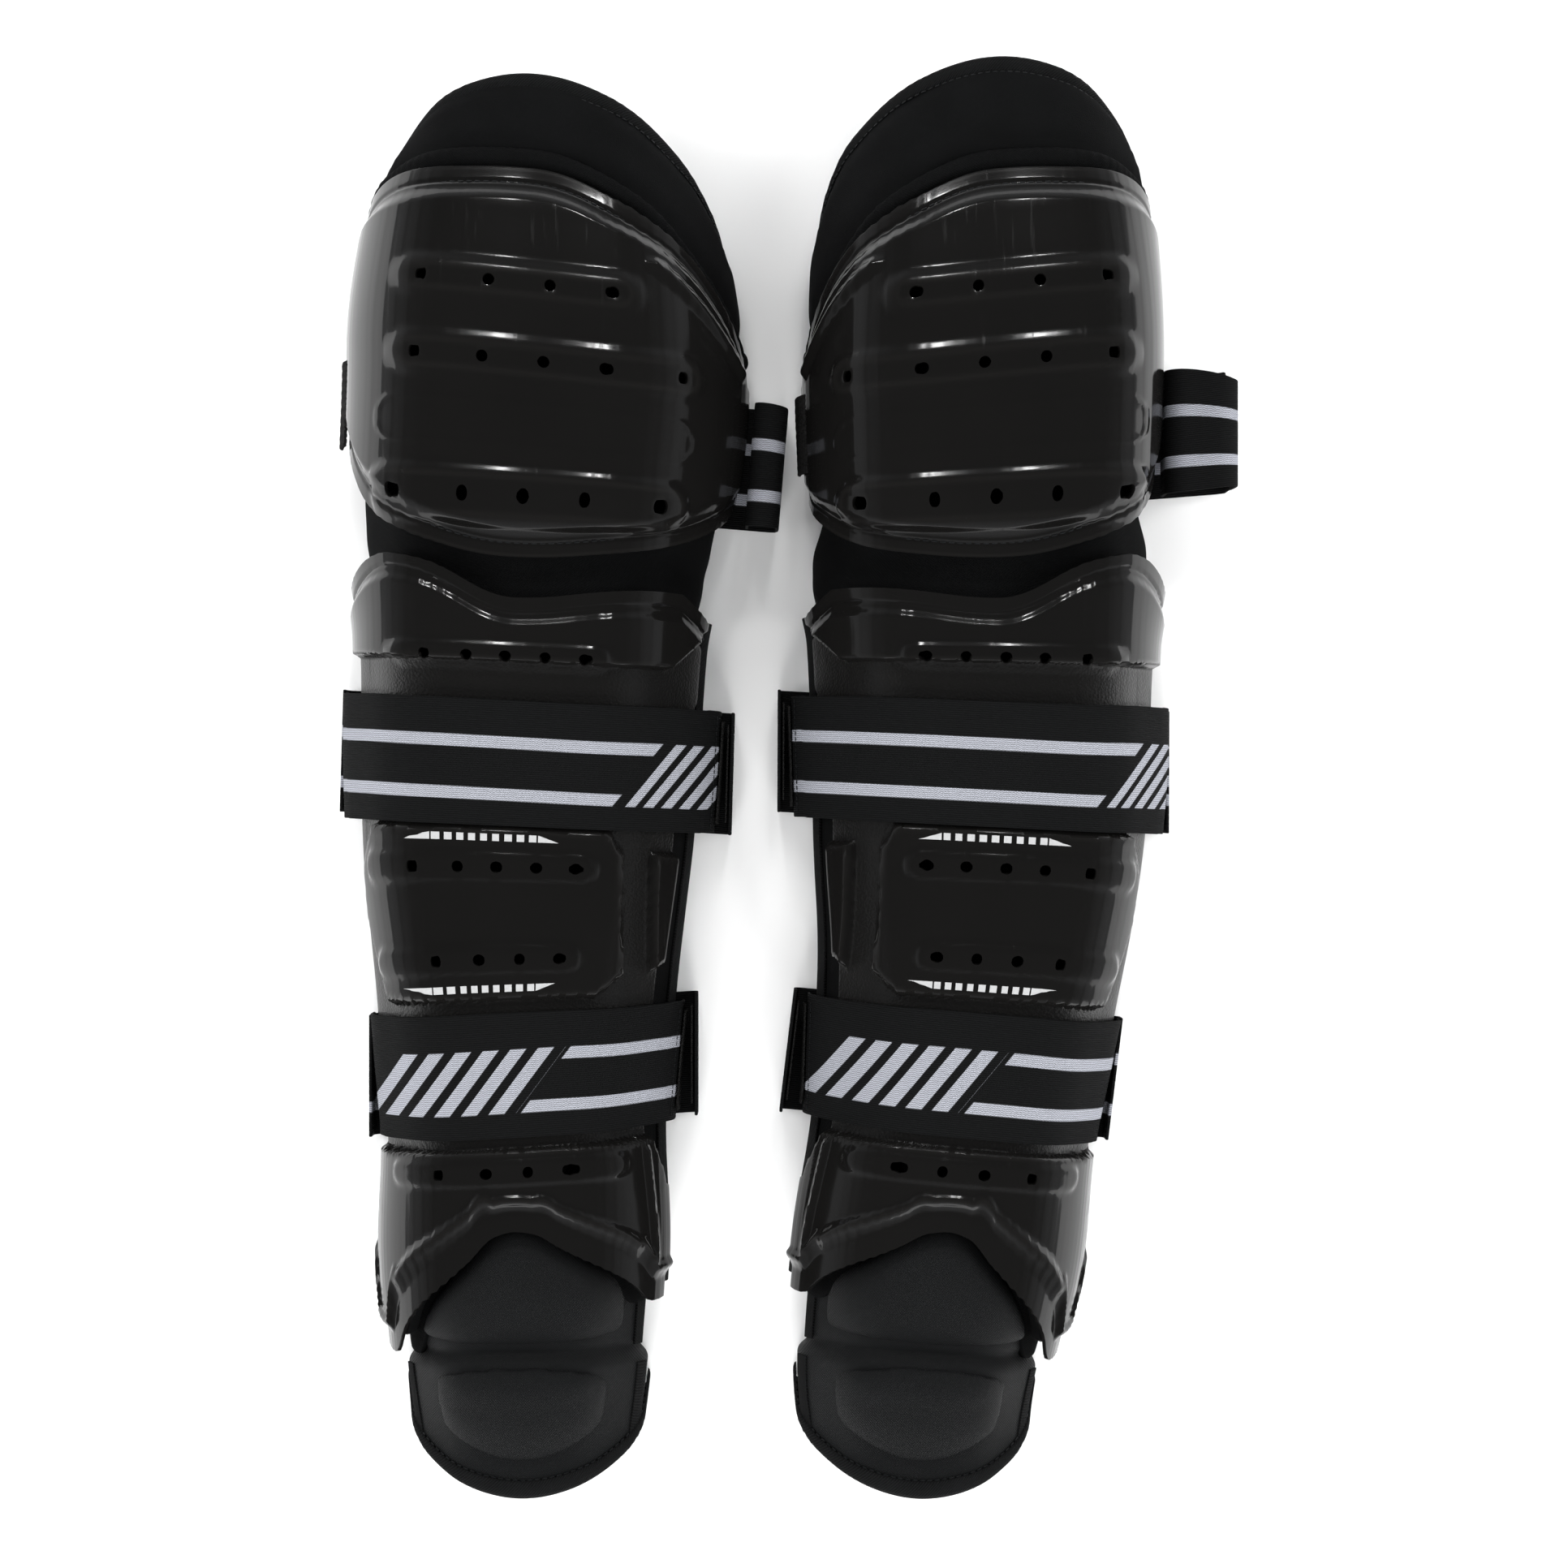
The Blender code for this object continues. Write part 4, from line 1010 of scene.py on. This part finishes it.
def makeTongue(side, guard, shin, instep):
    def dip(turn, v, t):
        step = ease((v - instepLevel + 0.004) / 0.008)
        crease = np.exp(-(((v - instepLevel - 0.002) / 0.0022) ** 2))
        return -0.0028 * step - 0.0016 * crease

    ankleTop = offset(linerBottom, 0.010)
    hinge = next(j for j in frame["joints"] if j["name"] == side + "_instep_fold")["pos_m"]
    outline = toeEdge, ankleTop
    tongue = slab(guard, side + "Tongue", (110, 120), (0.02, 5.98), outline, 0.0042, 0.0040, 0.0012, dip)
    settle(tongue, padKnit, "knit_fabric", None, side + "_ankle_tongue", side + "_instep_tongue", fill=0.4,
           sharp=60)
    hinge[1] - 0.004
    hinge[1] + 0.006
    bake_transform(tongue)
    binding = bindEdge(guard, side + "InstepBinding", toeEdge, 0.0066, 0.0046, 0.0004)
    settle(binding, tape, "binding_tape", instep, side + "_instep_binding", sharp=60)
    sideTapes = {"InstepTape": (60, (offset(toeEdge, 0.0040), flat(instepLevel - 0.0035)), 0.0049, instep),
        "AnkleTape": (30, (flat(instepLevel + 0.0030), ankleTop), 0.0024, shin)}
    for part, (rows, outline, lift, body) in sideTapes.items():
        for name, turns in tapePlan["turns"].items():
            edge = slab(guard, side + part + name, (10, rows), turns, outline, lift, tapePlan["thickness"],
                tapePlan["rim"])
            settle(edge, tape, "binding_tape", body)
    path = outlineRow(toeEdge, 0.0074, 0.3, 5.7)
    stitchRow(side + "InstepSeam", guard, path, 0.0046, "tape", "binding_tape", instep)


pillowPlan = {"thickness": 0.0026, "cap": 0.0010, "fill": 0.6}


def makePillows(side, guard, shin, instep):
    def puff(turn, t, width, height):
        across = np.clip(np.abs(turn - 3) / width, 0, 1)
        return height * np.sqrt(np.clip(1 - across**2, 0, 1)) * np.sqrt(np.clip(1 - (2 * t - 1) ** 2, 0, 1))

    def instepPuff(turn, v, t):  # with a ledge along its upper edge
        ledge = 0.0018 * ease((t - 0.55) / 0.35) * ease((1.25 - np.abs(turn - 3)) / 0.5)
        return puff(turn, t, 1.35, 0.0070) + ledge

    crease, low, high = instepLevel + 0.0055, toeLevel + 0.0150, instepLevel - 0.0015
    pillows = {
        "ankle": (shin, (1.30, 4.70), -0.0006, lambda turn: crease + 0.0012 * (turn - 3) ** 2,
        lambda turn: np.maximum(archLine(turn) + 0.004, crease + 0.008),
        lambda turn, v, t: puff(turn, t, 1.7, 0.0092)),
        "instep": (instep, (1.70, 4.40), 0.0026, lambda turn: low + 0.0085 * (turn - 3) ** 2,
        lambda turn: high - 0.0028 * (turn - 3) ** 2, instepPuff),
    }
    for name, (body, turns, lift, bottom, top, swell) in pillows.items():
        pillow = slab(guard, f"{side}{name.capitalize()}Pillow", (70, 50), turns, (bottom, top), lift,
            pillowPlan["thickness"], 0.0, swell)
        stuff(pillow, pillowPlan["cap"])
        settle(pillow, padKnit, "knit_fabric", body, f"{side}_{name}_pillow", fill=pillowPlan["fill"], sharp=60)


patchPlan = {"outer": (0.55, 1.05), "inner": (4.95, 5.45), "below": 0.006, "above": 0.002, "crinkle": 0.0003}
bindings = {  # turns, tip of the arch on that side, lift
    "Outer": ((0.12, 0.42), legShape["outerTip"], 0.0050), "Inner": ((5.04, 5.36), legShape["innerTip"], 0.0100)}


def makeSideTrim(side, guard, shin, knee):
    def crinkle(turn, v, t):
        return patchPlan["crinkle"] * np.sin(v * 2900) * np.sin(turn * 47)

    outline = flat(strapLevel - patchPlan["below"]), flat(strapLevel + straps["width"] / 2 + patchPlan["above"])
    turns = patchPlan["outer" if guard["mirror"] > 0 else "inner"]
    patch = slab(guard, side + "KneeLoopPatch", (16, 40), turns, outline, strapTop,
        layers["strap"], 0.0003, crinkle)
    settle(patch, hook, "hook_and_loop", knee, side + "_knee_loop_patch")
    for name, (turns, tip, lift) in bindings.items():
        outline = flat(archLevel - tip + 0.0065), flat(kneeLevel - 0.0180)
        edge = slab(guard, side + "ShinBinding" + name, (10, 140), turns, outline, lift, tapePlan["thickness"],
            tapePlan["rim"], lambda turn, v, t: 0.0004 * np.sin((turn % 1) * 6))
        settle(edge, tape, "binding_tape", shin, f"{side}_shin_binding_{name.lower()}")


def buildGuard(side, guard):
    prepareGuard(guard)
    shin, knee, thigh, instep = (side + part for part in ("_shin", "_knee", "_thigh", "_instep"))
    print(side, "liner")
    liner = slab(guard, side + "LegLiner", (130, 200), (0, 6), (linerBottom, kneeRim), layers["liner"],
        layers["liner"], 0.0006, lambda turn, v, t: 0.0003 * np.sin(v * 340)
        * np.exp(-((v - kneeLevel) / 0.012) ** 2))
    settle(liner, knit, "knit_fabric", None, shin + "_liner", knee + "_liner")
    y = kneeLevel + shift[1]
    y - 0.013
    y + 0.005
    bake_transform(liner)
    makeShells(side, guard, shin, knee)
    print(side, "rim roll and thigh flap")
    makeRoll(side, guard, knee)
    makeFlap(side, guard)
    print(side, "tongue")
    makeTongue(side, guard, shin, instep)
    makePillows(side, guard, shin, instep)
    print(side, "straps")
    for which, level, slack in (("Calf", calfLevel, straps["calfSlack"]), ("Ankle", ankleLevel, 0.0)):
        makeFrontStrap(side, guard, which, level, slack)
        makeBackStrap(side, guard, which, level, slack)
    makeKneeStrap(side, guard)
    makeSideTrim(side, guard, shin, knee)
    print(side, "print")
    tickRows(side, guard, shin)


tickPlan = {"height": 0.0014, "off": 0.00012, "thickness": 0.0001, "pitch": 0.162, "width": 0.048,
    "triangle": 0.14, "triangleAt": 0.86}


def tickRows(side, guard, shin):  # a triangle, nine ticks and a triangle, above and below the middle panel's ribs
    pieces = []
    tall = tickPlan["height"]
    rows = ((shinAt(0.4085), guard["ticks"], 0.0283, 1), (shinAt(0.6320), guard["ticks"] + 0.0008, 0.0256, -1))
    for level, middle, half, up in rows:
        facet = facetAt(guard, level)
        spots = [(middle + (k - 4) * half * tickPlan["pitch"], half * tickPlan["width"], 0) for k in range(9)]
        spots += [(middle + point * half * tickPlan["triangleAt"], half * tickPlan["triangle"], point)
            for point in (-1, 1)]
        for x, wide, point in spots:
            def place(s, t):
                fade = 1 if point == 0 else (1 - s if point > 0 else s)
                turn = 3 + (x + (s * 2 - 1) * wide + legShape["facetShift"]) / facet
                v = level + up * tall * (t * 2 * fade - 1)
                rise = shinRelief(guard, turn, v)[0]
                return wrap(guard, turn, v, shellTop + rise + tickPlan["off"])
            tick, _, _ = drape("tick", 6, 4, place)
            if guard["mirror"] * up < 0:
                tick.data.flip_normals()
            thicken(tick, tickPlan["thickness"], 0)
            pieces.append(tick)
    settle(joined(side + "TickRows", pieces), printInk, "gloss_shell", shin)


for side, guard in guards.items():
    buildGuard(side, guard)

print("stage")
stagePlan = {"floor": -0.0004, "size": 6.0, "cameraHeight": 1.6, "view": 0.647, "horizon": 0.62, "overhead": 0.07,
    "overheadFrom": 0.75}
lights = {  # place, size, watts, seen in the gloss
    "softLeft": ((-2.0, 0.1, 1.2), (1.6, 1.6), 70, False), "softRight": ((2.0, 0.1, 1.2), (1.6, 1.6), 70, False),
    "softFoot": ((0, -2.1, 1.1), (1.8, 0.9), 75, False), "softHead": ((0, 2.2, 1.6), (1.8, 0.9), 50, False),
    "stripLeft": ((-0.28, 1.60, 1.45), (0.05, 0.10), 2.8, True),
    "stripRight": ((0.30, 1.60, 1.45), (0.05, 0.10), 2.8, True),
}
bpy.ops.object.select_all(action="DESELECT")
bpy.ops.mesh.primitive_plane_add(size=stagePlan["size"], location=(0, 0, stagePlan["floor"]))
floor = bpy.context.object
floor.name = "paleFloor"
paper = Finish("palePaper", 0.1)
grainy = paper.noise(30, 3)
paperColour = paper.blend(grainy, grey(0.86), grey(0.88))
floor.data.materials.append(paper.finish(paperColour, 0.8 + grainy * 0.1, grainy, 0.02, 0.0005))
floor.select_set(False)

for name, (place, size, power, mirrored) in lights.items():
    data = bpy.data.lights.new(name, "AREA")
    data.shape, data.size, data.size_y, data.energy = "RECTANGLE", size[0], size[1], power
    light = bpy.data.objects.new(name, data)
    bpy.context.scene.collection.objects.link(light)
    light.location = place
    light.visible_glossy = mirrored
    light.rotation_euler = (Vector((0, 0, 0)) - Vector(place)).to_track_quat("-Z", "Y").to_euler()

world = bpy.data.worlds.new("paleRoom")
bpy.context.scene.world = world
world.use_nodes = True
tree = world.node_tree
sky, height, fade = (tree.nodes.new("ShaderNode" + kind) for kind in ("TexCoord", "SeparateXYZ", "MapRange"))
fade.interpolation_type = "SMOOTHSTEP"
feed(tree, height, {0: Wire(tree, sky.outputs["Generated"])})
feed(tree, fade, {"Value": Wire(tree, height.outputs[2]), "From Min": 0.0, "From Max": stagePlan["overheadFrom"],
    "To Min": stagePlan["horizon"], "To Max": stagePlan["overhead"]})
feed(tree, tree.nodes["Background"], {"Color": (0.95, 0.97, 1.0, 1), "Strength": Wire(tree, fade.outputs[0])})
bpy.context.scene.view_settings.view_transform = "Standard"

eye = bpy.data.cameras.new("viewer")
eye.sensor_width = 36
eye.lens = eye.sensor_width * stagePlan["cameraHeight"] / stagePlan["view"]
viewer = bpy.data.objects.new("viewer", eye)
bpy.context.scene.collection.objects.link(viewer)
viewer.location = (shift[0], shift[1], stagePlan["cameraHeight"])
bpy.context.scene.camera = viewer
